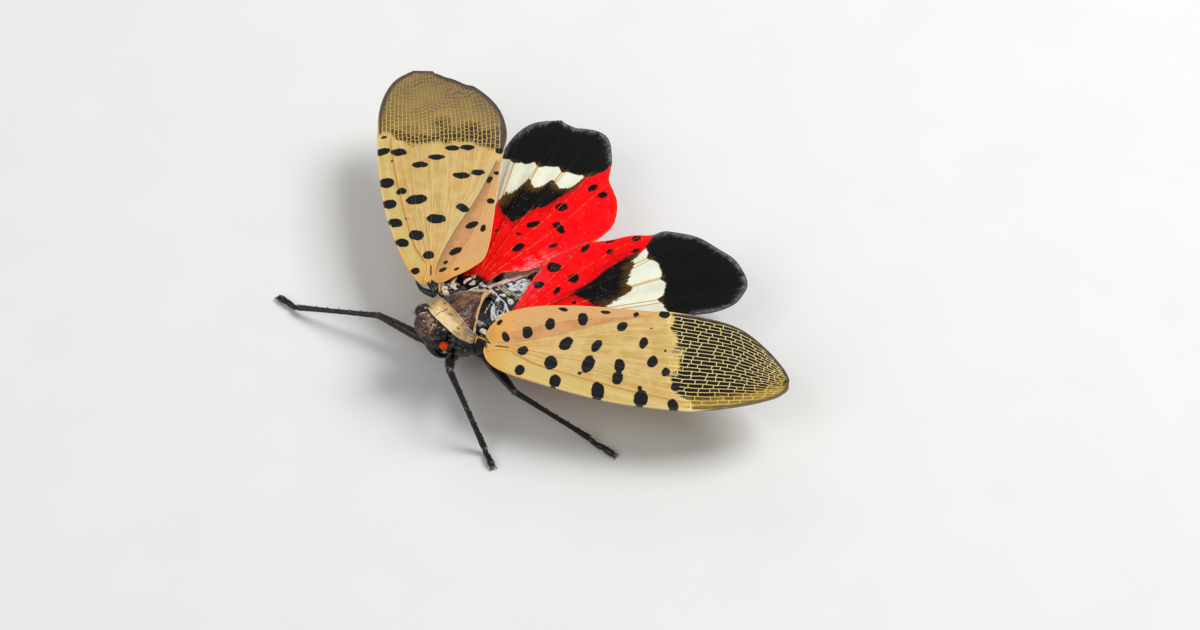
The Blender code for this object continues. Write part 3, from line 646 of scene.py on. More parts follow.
hindwing = {"thickness": 0.0437, "steps": (200, 120)}
hindwingZones = {                       # outlines of the tip, band and patch, and the veins' angles
    "hindwing_left": {
        "apex": [(10.9, 9.9), (10.3, 8.8), (9.8, 8.0), (10.0, 7.4), (10.2, 6.7), (10.8, 6.2), (11.0, 5.4),
                 (11.3, 4.5), (11.2, 3.7), (11.0, 2.9), (11.2, 2.2), (11.9, 1.5), (12.6, -0.5),
                 (20, -1), (20, 11)],
        "white": [(10.1, 7.9), (9.55, 7.1), (9.0, 6.4), (8.9, 5.8), (9.0, 5.3), (8.7, 4.4), (8.9, 3.6),
                  (8.4, 3.0), (7.2, 2.2), (5.9, 1.1), (5.2, -0.2), (5.0, -2), (13.5, -2), (12.5, 4),
                  (10.8, 8.5)],
        "patch": [(3.6, 2.3), (4.9, 3.3), (5.8, 4.1), (6.7, 5.1), (7.8, 6.3), (8.8, 7.1), (9.5, 7.5),
                  (9.6, 3.0), (7.3, 2.0), (6.3, 2.2), (5.6, 2.75), (5.0, 3.02), (4.3, 2.72)],
        "veins": [4, 14, 23, 33, 43.5, 54, 64], "pink": 0.12},
    "hindwing_right": {
        "apex": [(13.0, 10.6), (12.9, 10.1), (12.3, 9.7), (11.9, 8.8), (11.8, 8.1), (11.9, 7.7), (12.3, 6.7),
                 (12.7, 6.2), (12.8, 5.0), (13.1, 4.6), (13.0, 4.0), (13.2, 3.2), (13.5, 2.4), (13.9, 0),
                 (20, 0), (20, 12)],
        "white": [(12.1, 8.7), (11.6, 8.2), (10.9, 7.6), (10.6, 7.1), (10.8, 6.1), (11.2, 5.7), (10.8, 4.9),
                  (10.8, 4.2), (11.2, 4.1), (10.5, 3.2), (9.9, 2.7), (9.2, 2.3), (8.4, 1.6), (7.2, 0.4),
                  (6.8, -2), (14.5, -2), (14, 4), (13, 8)],
        "patch": [(8.6, 2.0), (7.7, 2.5), (7.0, 3.0), (7.6, 3.8), (8.4, 4.7), (9.0, 5.7), (9.8, 6.7),
                  (10.5, 7.5), (11.4, 8.1), (11.6, 6.0), (11.4, 3.6), (10.0, 2.4)],
        "veins": [6, 13, 20.5, 28, 35.5, 43, 51, 59], "pink": 1.0}}
hindwingSpots = {                       # as forewingSpots
    "hindwing_left": [
        (3.51, 5.58, 0.44, 0.5, 60), (2.47, 3.89, 0.36, 0.34, 0), (4.88, 4.59, 0.34, 0.4, -30),
        (3.76, 3.39, 0.14, 0.3, -30), (5.65, 7.44, 0.16, 0.42, -35), (7.39, 7.16, 0.2, 0.26, -25),
        (7.42, 8.37, 0.12, 0.3, -60), (9.23, 8.49, 0.18, 0.33, -52), (9.24, 7.53, 0.12, 0.25, -57),
        (4.98, 2.33, 0.14, 0.2, 0)],
    "hindwing_right": [
        (10.71, 8.79, 0.24, 0.4, -47), (9.86, 9.49, 0.24, 0.34, -31), (8.63, 6.56, 0.27, 0.47, -31),
        (6.86, 4.55, 0.32, 0.46, -16), (6.58, 6.36, 0.28, 0.59, 53), (4.52, 3.52, 0.24, 0.49, -42),
        (4.67, 5.98, 0.12, 0.3, -30), (5.91, 3.53, 0.1, 0.15, 0), (6.25, 1.98, 0.1, 0.14, 0)]}

hindwingShades = {
    "red": (0.93, 0.001, 0.003), "redLight": (0.95, 0.006, 0.010), "pink": (0.90, 0.012, 0.05),
    "redEdge": (0.85, 0.03, 0.02), "redDeep": (0.45, 0.003, 0.004), "patch": (0.006, 0.005, 0.005),
    "patchBrown": (0.085, 0.042, 0.010), "white": (0.84, 0.86, 0.73), "cream": (0.78, 0.79, 0.60),
    # apexStriationSheen is a painted sheen on the black tip's striations
    "apex": (0.006, 0.006, 0.006), "apexStriationSheen": (0.030, 0.030, 0.030), "margin": (0.26, 0.27, 0.29),
    # pinkSheen is a painted sheen on the anal area
    "spot": (0.008, 0.005, 0.005), "hinge": (0.70, 0.58, 0.45), "pinkSheen": (0.93, 0.40, 0.40),
    # dustAndGlints on the hindwing are tiny white sparkles painted as glints
    "dustAndGlints": (0.92, 0.80, 0.78),
    "veinRed": (0.80, 0.03, 0.01), "veinOrange": (0.60, 0.27, 0.05), "veinDark": (0.03, 0.026, 0.024)}


def hindwingFields(wing, spots):
    zones = hindwingZones[wing.name]
    u, v = spots.T
    angle, reach = np.degrees(np.arctan2(v - 0.1, np.maximum(u, 0.05))), np.hypot(u, v)
    nearest = np.min([np.abs(angle - vein) for vein in zones["veins"]], axis=0)
    return {**{zone: insideBy(spots, zones[zone]) for zone in ("apex", "white", "patch")},
            "spot": spotField(spots, hindwingSpots[wing.name]), "edge": lineDistance(spots, wing.outline),
            "vein": np.radians(nearest) * reach, "angle": angle, "reach": reach,
            "pink": np.full(len(spots), zones["pink"])}


def hindwingRelief(wing, spots):        # fan pleats: the veins are ridges
    u, v = spots.T
    veins = hindwingZones[wing.name]["veins"]
    angle, reach = np.degrees(np.arctan2(v, np.maximum(u, 0.05))), np.hypot(u, v)
    phase = np.interp(angle, [-20, *veins, 90], range(-1, len(veins) + 1))
    return (0.011 * reach * np.cos(2 * math.pi * phase) * ramp(reach, 1.0, 5.0)
            * (1 - 0.7 * ramp(reach, 11, 16)))


def hindwingPaint():
    paint = Finish("hindwingMembrane", {"Specular IOR Level": 0.03}, hindwingShades)
    spot, edge, apex, white, patch, vein = paint.fields("spot", "edge", "apex", "white", "patch", "vein")
    angle, reach, pink = paint.fields("angle", "reach", "pink")
    mottle, fine = paint.speckle(0.8, 4.0), paint.speckle(0.15, 3.0)
    blotchy, rough = mottle - 0.5, fine - 0.5
    streak = paint.streaks(angle * 0.9, reach * 0.35, 1.0, 3.0)
    grooves = paint.streaks(angle * 0.9, reach * 0.35, 9.0, 1.0).step(0.4, 0.65)
    ragged = rough * 0.26 + (streak - 0.5) * 0.55
    lobe = vein.step(0.0, 0.55) - 0.75  # the borders bulge between the veins
    red = paint.layers(
        "red",
        (mottle.step(0.35, 0.7), "redLight"),
        (angle.step(50, 68) * 0.6, "pink"),
        (edge.step(0.35, 0.0) * 0.45, "redEdge"),
        ((patch + ragged * 2.0).step(-0.6, 0.0) * 0.6, "redDeep"))
    brown = paint.mix((white + ragged * 2.2 + blotchy * 0.8).step(-0.75, -0.05), "patch", "patchBrown")
    cream = paint.layers(
        "white",
        (mottle.step(0.3, 0.7), "cream"),
        (vein.step(0.085, 0.035) * 0.85, "veinOrange"))
    black = paint.layers(
        "apex",
        # fine radial striations near the margin, greyed as a painted sheen
        (grooves * 0.2 * edge.step(2.2, 0.3), "apexStriationSheen"),
        ((edge + (streak - 0.5) * 0.9 - grooves * 0.3).step(0.28, -0.25) * 0.75, "margin"),
        ((apex + ragged).step(0.3, 0.0) * 0.5, "patchBrown"))
    # painted sheen: a pinkish-white wash over the anal area, in streaks
    pinkSheen = (angle + blotchy * 24).step(48, 58) * (reach + blotchy * 4).step(8.5, 4.0) * pink
    sheenStreaks = (streak + rough * 0.6 + blotchy * 0.6).step(0.42, 0.68)
    # painted glints: tiny white sparkles on the red, most where the painted sheen is
    dustAndGlints = paint.cells(0.22).step(0.24, 0.12) * paint.speckle(0.5, 1.0).step(0.5, 0.62)
    colour = paint.layers(
        red,
        ((patch + ragged * 0.9).step(-0.05, 0.09), brown),
        ((white + ragged + lobe * 0.3).step(-0.05, 0.07), cream),
        ((apex + ragged * 0.35 - lobe * 0.3).step(-0.05, 0.07), black),
        ((spot + rough * 0.16).step(0.07, -0.01), "spot"),
        (pinkSheen * sheenStreaks * 0.9, "pinkSheen"),
        ((reach + rough * 1.4 + blotchy * 0.8).step(1.95, 1.6),
         paint.mix((mottle + rough * 0.15).step(0.56, 0.6), "apex", "hinge")),
        (dustAndGlints * (0.15 + 0.7 * pinkSheen) * apex.step(0.0, -0.3), "dustAndGlints"))
    height = fine * 0.4 + streak * 0.3 + grooves * 0.3
    return paint.feed(colour, 0.42 + 0.2 * fine, (height, 0.04, 0.45))


def hindwingVeinPaint():
    paint = Finish("hindwingVeins", {"Specular IOR Level": 0.2, "Roughness": 0.45}, hindwingShades)
    white, apex, patch, reach = paint.fields("white", "apex", "patch", "reach")
    return paint.feed(paint.layers(
        "veinRed",
        (paint.speckle(0.3, 2.0).step(0.45, 0.6), "veinOrange"),
        (reach.step(3.0, 1.6), "veinDark"),
        (patch.step(-0.1, 0.3), "veinDark"),
        (white.step(-0.2, 0.1), "veinOrange"),
        (apex.step(-0.1, 0.3), "veinDark")))


def addRadialVein(bag, wing, angle, start, count, radius):
    reach = np.linspace(start, 20, count)
    turn = np.radians(angle + 1.2 * np.sin(reach * 0.35 + angle))
    spots = np.c_[reach * np.cos(turn), reach * np.sin(turn)]
    front, back = wing.margins(spots[:, 0])
    inside = (spots[:, 1] > front + 0.04) & (spots[:, 1] < back - 0.04) & (spots[:, 0] < wing.length - 0.05)
    if start > 5:                       # the finest branches lie in the black part only
        inside[insideBy(spots, hindwingZones[wing.name]["apex"]) < 0] = False
        spots, inside = spots[int(np.argmax(inside)):], inside[int(np.argmax(inside)):]
    spots = untilFalse(spots, inside)
    if len(spots) > 3:
        radii = (radius, radius * 0.8, radius * 0.5)
        addVein(bag, wing, spots, radii, hindwingFields, (0.055, 0.045), sides=5)


def makeHindwings():
    membrane, veins = hindwingPaint(), hindwingVeinPaint()
    for name in ("hindwing_left", "hindwing_right"):
        wing = Wing(name, hindwingRelief)
        makeMembrane(wing, hindwing, hindwingFields, membrane, "hindwing")
        bag = Bag()
        angles = hindwingZones[name]["veins"]
        for angle, after in zip(angles, [*angles[1:], angles[-1] + 8]):
            addRadialVein(bag, wing, angle, 1.2, 120, 0.042)
            for part in (0.2, 0.4, 0.6, 0.8):     # finer branches in the far half
                addRadialVein(bag, wing, angle + (after - angle) * part, 9.0, 80, 0.024)
        for edge, radii in (("leading", (0.08, 0.06, 0.03)), ("hind", (0.04, 0.025, 0.025))):
            addVein(bag, wing, smoothThrough(wings[name][edge], 110)[1:], radii, hindwingFields, (0.05, 0.04))
        bag.make(name + "_veins", [veins], "hindwing", sharp=80)
        print(name, "done")


makeForewings()
makeHindwings()


# Body: the same stations as the solids, as (y, half width, top, bottom, level of the widest point)

stations = {
    "prothorax": [(-1.36, 1.35, 4.95, 2.75, 3.9), (-1.0, 1.8, 5.2, 2.35, 3.6), (-0.5, 2.0, 5.35, 2.15, 3.4),
                  (-0.12, 2.05, 5.3, 2.1, 3.4)],
    "mesothorax": [(-0.05, 2.1, 5.3, 2.2, 3.7), (0.6, 2.35, 5.4, 2.0, 3.7), (1.4, 2.38, 5.1, 1.9, 3.7),
                   (2.14, 2.3, 4.7, 1.9, 3.6)],
    "metathorax": [(2.2, 2.28, 4.7, 1.9, 3.5), (2.8, 2.3, 4.75, 1.95, 3.5), (3.5, 2.2, 4.55, 2.1, 3.45)],
    "abdomen": [(3.58, 2.05, 4.5, 2.2, 3.4), (4.4, 2.25, 4.3, 2.0, 3.2), (5.8, 2.3, 3.95, 1.75, 2.9),
                (7.4, 2.1, 3.7, 1.6, 2.75), (8.9, 1.65, 3.4, 1.6, 2.6), (10.1, 1.05, 3.1, 1.75, 2.45)],
    "abdomen_tip": [(10.16, 0.95, 3.0, 1.85, 2.4), (10.8, 0.75, 2.85, 1.85, 2.3),
                    (11.5, 0.3, 2.55, 2.05, 2.3)],
    "head": [(-1.3, 0.85, 5.2, 3.8, 4.6), (-1.55, 1.15, 5.66, 3.5, 4.65), (-1.8, 1.28, 5.86, 3.25, 4.7),
             (-2.2, 1.32, 5.96, 3.3, 4.7), (-2.65, 1.15, 5.85, 3.85, 4.8), (-2.95, 0.85, 5.6, 4.4, 4.95),
             (-3.12, 0.4, 5.3, 4.75, 5.0)]}


def bodyRings(keys, rows, around, power=2.3):   # rings across the body, each from the left over the top
    y, halfWidth, top, bottom, level = smoothThrough(keys, rows).T[..., None]
    angles = 2 * math.pi * (np.arange(around) + 0.5) / around
    across, up = (np.sign(turn) * np.abs(turn) ** (2 / power) for turn in (np.cos(angles), np.sin(angles)))
    x = across * halfWidth
    return np.stack([x, y + 0 * x, level + up * np.where(up > 0, top - level, level - bottom)], -1)


def roundEnds(rings, front, rear, steps=6):     # rings that close both ends with domes
    angles = np.linspace(0, math.pi / 2, steps + 1)[1:]
    domes = []
    for ring, depth in ((rings[0], -front), (rings[-1], rear)):
        centre = ring.mean(0)
        domes.append([centre + (ring - centre) * max(math.cos(angle), 0.01) + (0, depth * math.sin(angle), 0)
                      for angle in angles])
    return np.concatenate([domes[0][::-1], rings, domes[1]])


def ringFaces(rings):
    return gridFaces(*rings.shape[:2], wrap=True, flip=True)


def addPlate(bag, sheet, thickness, way=(0, 0, 1), **fields):     # thins toward its edges
    inward = [np.minimum(np.arange(count), np.arange(count)[::-1]) * 12 / count for count in sheet.shape[:2]]
    depth = thickness * (0.25 + 0.75 * ramp(np.minimum.outer(*inward), 0, 1))
    both = {name: np.tile(np.ravel(values), 2) for name, values in fields.items()}
    bag.add(np.concatenate([sheet, sheet - np.multiply(way, depth[..., None])]), plateFaces(*sheet.shape[:2]),
            **both)


shellShades = {
    "deep": (0.006, 0.005, 0.005), "black": (0.012, 0.010, 0.009), "rim": (0.050, 0.019, 0.010),
    "skin": (0.90, 0.66, 0.54), "skinDeep": (0.62, 0.36, 0.28), "tan": (0.42, 0.28, 0.13),
    "wax": (0.78, 0.79, 0.77), "waxGrey": (0.34, 0.37, 0.40)}


def shellPaint():                       # black, waxy where the piece's wax value is high, reddish at its rims
    paint = Finish("blackShell", {"Coat Roughness": 0.07, "Coat Weight": 0.6, "Specular IOR Level": 0.15},
                   shellShades)
    rim, skin, tan, wax = paint.fields("rim", "skin", "tan", "wax")
    lump, fine, tiny = paint.speckle(0.45, 3.0), paint.speckle(0.14, 3.0), paint.speckle(0.035, 2.0)
    lumpy, rough = lump - 0.5, fine - 0.5
    fold = paint.mix((fine * 0.5 + lump * 0.5).step(0.4, 0.6), "skin", "skinDeep")
    crust = paint.mix((tiny * 0.5 + fine * 0.5).step(0.38, 0.6), "waxGrey", "wax")
    waxy = (wax + rough * 0.45 + lumpy * 0.4 + (tiny - 0.5) * 0.2).step(0.38, 0.7)
    colour = paint.layers(
        "deep",
        (lump.step(0.35, 0.7), "black"),
        ((rim + rough * 0.4).step(0.3, 0.7), "rim"),
        ((skin + lumpy * 0.5).step(0.35, 0.65), fold),
        ((tan + rough * 0.4).step(0.35, 0.6), "tan"),
        (waxy, crust))
    return paint.feed(colour, 0.22 + 0.12 * fine + 0.3 * waxy, (fine * 0.7 + tiny * 0.2 * waxy, 0.06, 0.9),
                      coat=0.6 * (1 - waxy))


blackShell = shellPaint()


# Thorax

thorax = {
    "steps": (190, 250), "lobeSteps": (70, 60), "lobeFoot": [(1.72, -1.85, 3.5), (2.05, 0.2, 2.35)],
    "lobeRow": 0.06, "lobeSpan": (0.22, 0.27),
    # lines on the sides as (y, z): edges of the plates above the legs
    "seams": [[(-1.0, 3.1), (-0.55, 3.9), (-0.35, 5.0)], [(-0.15, 2.4), (-0.05, 3.6), (-0.05, 5.2)],
              [(0.6, 2.2), (0.95, 3.3), (1.3, 4.3)], [(2.15, 2.0), (2.2, 3.4), (2.0, 4.4)],
              [(-0.6, 4.35), (0.5, 4.4), (2.0, 4.25), (3.4, 4.0)]]}


def makeThorax():
    waist = (-0.09, 2.1, 5.3, 2.05, 3.4)
    keys = [*stations["prothorax"][:-1], waist, *stations["mesothorax"][1:-1], *stations["metathorax"]]
    rings = roundEnds(bodyRings(keys, *thorax["steps"], power=2.8), 0.3, 0.0)
    seam = lineDistance(rings[..., 1:], *thorax["seams"])
    lumps = grain(rings, 0.5, 3) * 0.04 + grain(rings, 0.16, 5) * 0.015
    rings = swell(rings, 0.08 * ramp(seam, 0.0, 0.35) - 0.06 + lumps)
    bag = Bag()
    bag.add(rings, ringFaces(rings), rim=0.8 * bell(seam - 0.08, 0.06) * (rings[..., 1] < 0),
            wax=0.55 * bell(seam, 0.04) * ramp(grain(rings, 0.4, 9), 0.0, 0.3))
    for side in leftRight.values():
        addSideLobe(bag, side)
    bag.make("thorax", [blackShell], "shell", ["prothorax", "mesothorax", "metathorax"])


def lobeTop(side, share):               # points under the neck plate that the side plate starts from
    first, reach = thorax["lobeSpan"]
    return pronotumSheet(thorax["lobeRow"], 0.5 + side * (first + reach * share))


def addSideLobe(bag, side):             # glossy side plate below the neck plate
    share, down = grid(thorax["lobeSteps"])
    if side < 0:
        share = share[::-1]
    top = lobeTop(side, share) - (0, 0, 0.1)
    first, last = np.multiply(thorax["lobeFoot"], (side, 1, 1))
    foot = first + (last - first) * share[..., None] + (0, 0, 0.12) * np.sin(3 * share * math.pi)[..., None]
    sheet = top + (foot - top) * down[..., None]
    bulge = 0.16 * np.sin(math.pi * down) - 0.09 * bell(down - 0.34, 0.05) + 0.05 * ramp(down, 0.9, 1.0)
    tuck = 0.05 + 0.3 * ramp(share, 0.3, 0.0) ** 2 + 0.12 * ramp(down, 0.85, 1.0)
    sheet = sheet + np.multiply(bulge[..., None], (0.9 * side, -0.4, 0)) - tuck[..., None] * (side, 0, 0)
    sheet = sheet + 0.04 * grain(sheet, 0.6, 71)[..., None] * (side, 0, 0)
    border = np.minimum(np.minimum(share, 1 - share) * 2.2, (1 - down) * 1.7)
    # white wax dots along the plate's upper ridge, which also paint the highlight line there
    waxHighlightDots = 0.75 * bell(down - 0.26, 0.03) * ramp(grain(sheet, 0.14, 73), 0.0, 0.25)
    addPlate(bag, sheet, 0.1, way=(side, -0.3, 0), rim=0.9 * ramp(border, 0.1, 0.04), wax=waxHighlightDots)


# Neck plate

# Front and rear are y at the midline, and how much further back the edge is at the sides
pronotum = {"halfWidth": 2.38, "sideZ": 4.25, "crest": (5.93, 6.2), "front": (-1.86, 1.0),
            "rear": (-0.48, 0.4), "rightLobe": (0.22, 0.36), "leftLobe": (0.06, 0.34, 0.3),
            "thickness": 0.2, "steps": (110, 260),
            "blots": [(-1.37, -0.8, 0.2), (-0.56, -0.64, 0.24), (1.6, -1.0, 0.12), (2.05, -0.35, 0.15),
                      (0.67, -0.85, 0.17), (0.45, -0.95, 0.12), (-2.1, -0.45, 0.14)],
            "pits": [(1.6, -1.0, 0.09), (1.6, -0.65, 0.06), (-1.5, -1.05, 0.08), (-1.0, -0.6, 0.06),
                     (1.9, -0.6, 0.05)]}
# greyAndShade is partly painted shade at the rear of the neck plate
pronotumShades = {"beige": (0.60, 0.38, 0.16), "cream": (0.90, 0.66, 0.36), "greyAndShade": (0.30, 0.23, 0.13),
                  "orange": (0.62, 0.33, 0.08), "brown": (0.18, 0.095, 0.04), "dark": (0.03, 0.015, 0.008),
                  "rim": (0.85, 0.76, 0.56)}


def pronotumSheet(along, across):
    side = 2 * across - 1
    front = pronotum["front"][0] + pronotum["front"][1] * np.abs(side) ** 1.5
    rear = pronotum["rear"][0] + pronotum["rear"][1] * side ** 2
    crest = pronotum["crest"][0] + (pronotum["crest"][1] - pronotum["crest"][0]) * along
    right, left = ramp(-side, 0.3, 1.0), ramp(side, 0.45, 1.0)
    (rightOut, rightBack), (leftOut, leftBack, leftUp) = pronotum["rightLobe"], pronotum["leftLobe"]
    halfWidth = pronotum["halfWidth"] + rightOut * right + leftOut * left
    y = front + (rear - front) * along + rightBack * right * (0.3 + 0.7 * along) + leftBack * left
    sideZ, angle = pronotum["sideZ"] + leftUp * left, side * math.pi / 2
    return np.stack([halfWidth * np.sin(angle), y, sideZ + (crest - sideZ) * np.cos(angle)], -1)


def pronotumPaint():
    paint = Finish("pronotumShell", {"Specular IOR Level": 0.3, "Coat Weight": 0.08, "Coat Roughness": 0.3},
                   pronotumShades)
    cream, shade, blot, pit, crack, rim = paint.fields("cream", "shade", "blot", "pit", "crack", "rim")
    lump, fine, tiny = paint.speckle(0.55, 4.0), paint.speckle(0.16, 3.0), paint.speckle(0.05, 2.0)
    lumpy, rough = lump - 0.5, fine - 0.5
    colour = paint.layers(
        "beige",
        ((cream + lumpy * 1.2).step(0.2, 0.8), "cream"),
        ((fine + lump).step(1.02, 1.16) * 0.5, "orange"),
        # painted shade at the rear, and greyer ends
        ((shade + lumpy * 1.5 + rough * 0.6).step(0.3, 0.75) * 0.9, "greyAndShade"),
        ((fine + lumpy * 0.5).step(0.6, 0.78) * 0.35, "brown"),
        ((blot + rough * 0.8).step(0.4, 0.9) * 0.75, "brown"),
        ((pit + rough * 0.5).step(0.35, 0.75) * 0.9, "brown"),
        ((crack + (tiny - 0.5) * 0.3).step(0.35, 0.6), "dark"),
        (rim.step(0.4, 0.8) * 0.8, "rim"))
    return paint.feed(colour, 0.38 + 0.2 * fine, (fine * 0.6 + tiny * 0.3, 0.05, 0.8))


def makePronotum():
    along, across = grid(pronotum["steps"])
    sheet = pronotumSheet(along, across)
    x, y, _ = np.moveaxis(sheet, -1, 0)
    length = np.maximum(pronotumSheet(1.0, across)[..., 1] - pronotumSheet(0.0, across)[..., 1], 0.1)
    fromFront, fromRear = along * length, (1 - along) * length
    crack = bell(x + 0.02 - 0.1 * (y + 1.25) + 0.03 * np.sin(y * 8), 0.03) * ramp(fromFront, 1.25, 0.95)
    pits = dots(x, y, pronotum["pits"])
    furrow = bell(fromFront - 0.17, 0.05) + 0.8 * bell(fromRear - 0.15, 0.05)
    lumps = grain(sheet, 0.45, 11) * 0.07 + grain(sheet, 0.16, 13) * 0.025
    raised = bell(fromFront, 0.09) * 0.05 + bell(fromRear, 0.08) * 0.04 + bell(x, 0.16) * 0.05
    # painted shade along the rear band of the left half, and a greyer tone toward both ends
    shade = 0.55 * ramp(x, 1.3, 2.2) + 1.15 * ramp(-x, 0.7, 1.6) + 0.4 * ramp(fromRear, 0.6, 0.2) * (x > -0.2)
    rim = 0.9 * bell(fromFront - 0.02, 0.025) * bell(x - 0.1, 0.5)
    rim += bell(fromRear - 0.02, 0.025) * ramp(x, 0.2, 1.0)
    cream = ramp(fromFront, 1.15, 0.35) * ramp(x, -1.0, -0.3) * ramp(x, 1.9, 1.2)
    blot = dots(x, y, pronotum["blots"], 1.3)
    sheet = swell(sheet, raised + lumps - 0.07 * pits - 0.03 * furrow - 0.09 * crack, wrap=False, out=1)
    bag = Bag()
    addPlate(bag, sheet, pronotum["thickness"], shade=shade, rim=rim, pit=pits, cream=cream, blot=blot,
             crack=crack + 0.6 * bell(fromFront - 0.075, 0.018))
    bag.make("pronotum", [pronotumPaint()], "pronotum", ["pronotum"])


# Scutellum

mesonotum = {"halfWidth": 2.1, "right": 2.32, "tip": 0.1, "tipY": 2.9, "bends": (1.5, 0.95),
             "crest": (6.08, 5.62), "sideDrop": 1.25, "thickness": 0.2, "steps": (190, 190)}
mesonotumShades = {"brown": (0.060, 0.024, 0.014), "red": (0.21, 0.082, 0.038), "dark": (0.012, 0.007, 0.006),
                   "tan": (0.50, 0.28, 0.10), "cream": (0.68, 0.47, 0.23), "line": (0.36, 0.14, 0.035),
                   "dustAndGlints": (0.62, 0.58, 0.54)}


def mesonotumSheet(along, across):
    side = 2 * across - 1
    wide = np.where(side > 0, mesonotum["halfWidth"], mesonotum["right"]) - mesonotum["tip"]
    x = side * (mesonotum["tip"] + wide * (1 - along) ** np.where(side > 0, *mesonotum["bends"]))
    front = -0.44 + 0.5 * np.abs(side) ** 2.2
    crest = mesonotum["crest"][0] + (mesonotum["crest"][1] - mesonotum["crest"][0]) * along
    return np.stack([x, front + (mesonotum["tipY"] - front) * along,
                     crest - mesonotum["sideDrop"] * (x / mesonotum["halfWidth"]) ** 2], -1)


def mesonotumPaint():
    constants = {"Specular IOR Level": 0.15, "Coat Weight": 0.25, "Coat Roughness": 0.08}
    paint = Finish("mesonotumShell", constants, mesonotumShades)
    dark, keel, margin = paint.fields("dark", "keel", "margin")
    lump, fine, tiny = paint.speckle(0.6, 4.0), paint.speckle(0.15, 3.0), paint.speckle(0.05, 2.0)
    rough = fine - 0.5
    border = paint.mix((lump + rough * 0.4).step(0.4, 0.65), "tan", "cream")
    colour = paint.layers(
        "brown",
        ((lump + rough * 0.3).step(0.4, 0.62), "red"),
        ((dark + (lump - 0.5) * 0.9).step(0.3, 0.7), "dark"),
        ((keel + rough * 0.5).step(0.3, 0.7) * 0.85, "line"),
        ((margin + rough * 0.45).step(0.35, 0.6), border),
        ((tiny + rough * 0.4).step(0.74, 0.8) * 0.5, "dustAndGlints"))
    return paint.feed(colour, 0.34 + 0.2 * fine, (fine * 0.7 + tiny * 0.3, 0.06, 0.9))


def makeMesonotum():
    along, across = grid(mesonotum["steps"])
    sheet = mesonotumSheet(along, across)
    x, y, _ = np.moveaxis(sheet, -1, 0)
    edges = (mesonotumSheet(np.linspace(0, 1, 60), np.full(60, end))[:, :2] for end in (0.0, 1.0))
    fromEdge = lineDistance(sheet[..., :2], *edges)
    width = np.where(x > 0, 0.13, 0.07) + 0.38 * ramp(y, 1.5, 2.7) + 0.07 * grain(sheet, 0.4, 21)
    width = np.maximum(width, 0.05)
    margin = ramp(fromEdge, width * 1.15, width * 0.75)
    keel = bell(x + 0.05 + 0.03 * np.sin(y * 6), 0.04) * ramp(y, -0.1, 0.3) * ramp(y, 1.9, 1.4)
    wrinkles, lumps = grain(sheet * (1.0, 0.35, 1.0), 0.16, 17), grain(sheet, 0.5, 19)
    relief = 0.03 * margin + 0.05 * keel + 0.022 * wrinkles * (1 - margin * 0.6) + 0.04 * lumps
    relief += 0.05 * bell(np.abs(x) - 0.75 * (1 - along), 0.12) - 0.10 * ramp(fromEdge, width, width + 0.45)
    dark = 1.1 * ramp(y, 1.2, 0.1) * ramp(-x, -0.1, 1.0) + 0.6 * ramp(np.abs(x), 1.1, 1.9) * ramp(y, 1.4, 0.3)
    bag = Bag()
    # dark also carries a painted shadow line along the inner foot of the raised margin
    addPlate(bag, swell(sheet, relief, wrap=False, out=1), mesonotum["thickness"], margin=margin, keel=keel,
             dark=dark + 0.25 * bell(fromEdge - width, 0.07))
    bag.make("mesonotum", [mesonotumPaint()], "mesonotum", ["mesonotum"])


# Back behind the scutellum: waxy ridges on black

back = {"halfWidth": 2.0, "rear": 3.56, "steps": (130, 250), "thickness": 0.25,
        "ribbons": [[(2.15, 0.6), (1.8, 0.9), (1.26, 1.38), (0.75, 1.85), (0.32, 2.3)],
                    [(1.97, 1.6), (1.6, 1.85), (1.1, 2.15), (0.72, 2.45)],
                    [(0.0, 3.42), (0.6, 3.45), (1.2, 3.36), (1.8, 3.1)]],
        "oval": ((1.05, 2.85), 0.98, 0.4, 133), "ring": ((1.45, 2.6), 0.2, 0.16, 0)}


def nearOval(x, y, centre, long, wide, tilt):   # mm from an oval line
    turn = math.radians(tilt)
    dx, dy = x - centre[0], y - centre[1]
    along = (dx * math.cos(turn) + dy * math.sin(turn)) / long
    across = (dy * math.cos(turn) - dx * math.sin(turn)) / wide
    return np.abs(np.hypot(along, across) - 1) * min(long, wide)


def makeBack():
    along, across = grid(back["steps"])
    x = (2 * across - 1) * back["halfWidth"]
    out = np.abs(x)                     # the same pattern on both sides of the midline
    front = 0.12 + 2.84 * (1 - np.clip((out - 0.1) / 2, 0, 1) ** 0.893)
    y = front + (back["rear"] - front) * along
    z = 4.96 - 0.55 * (out / 2) ** 3 - 0.08 * np.abs(y - 2.7) - 0.25 * ramp(y, 3.35, 3.56)
    sheet = np.stack([x, y, z], -1)
    lumps, fine = grain(sheet, 0.3, 23), grain(sheet, 0.09, 27)
    bent = 0.07 * lumps + 0.03 * fine
    ribbon = bell(lineDistance(np.stack([out, y], -1), *back["ribbons"]) + bent, 0.1)
    oval, ring = nearOval(out, y, *back["oval"]), nearOval(out, y, *back["ring"])
    ridges = np.maximum.reduce([ribbon, bell(oval + bent, 0.12), 0.7 * bell(ring, 0.06)])
    broken = 0.35 + 0.65 * ramp(grain(sheet, 0.45, 29), -0.35, 0.05)
    wax = np.maximum.reduce([ribbon, bell(oval + bent, 0.13) * broken, 0.9 * bell(ring + 0.5 * bent, 0.05),
                             0.5 * ramp(lumps, 0.2, 0.45)])
    sheet[..., 2] += 0.13 * ridges + 0.05 * lumps + 0.015 * fine - 0.12 * bell(y - front - 0.35, 0.14)
    bag = Bag()
    addPlate(bag, sheet, back["thickness"], wax=wax, rim=0.7 * ramp(lumps, -0.3, -0.5))
    bag.make("metanotum", [blackShell], "shell", ["metanotum"])


# Abdomen

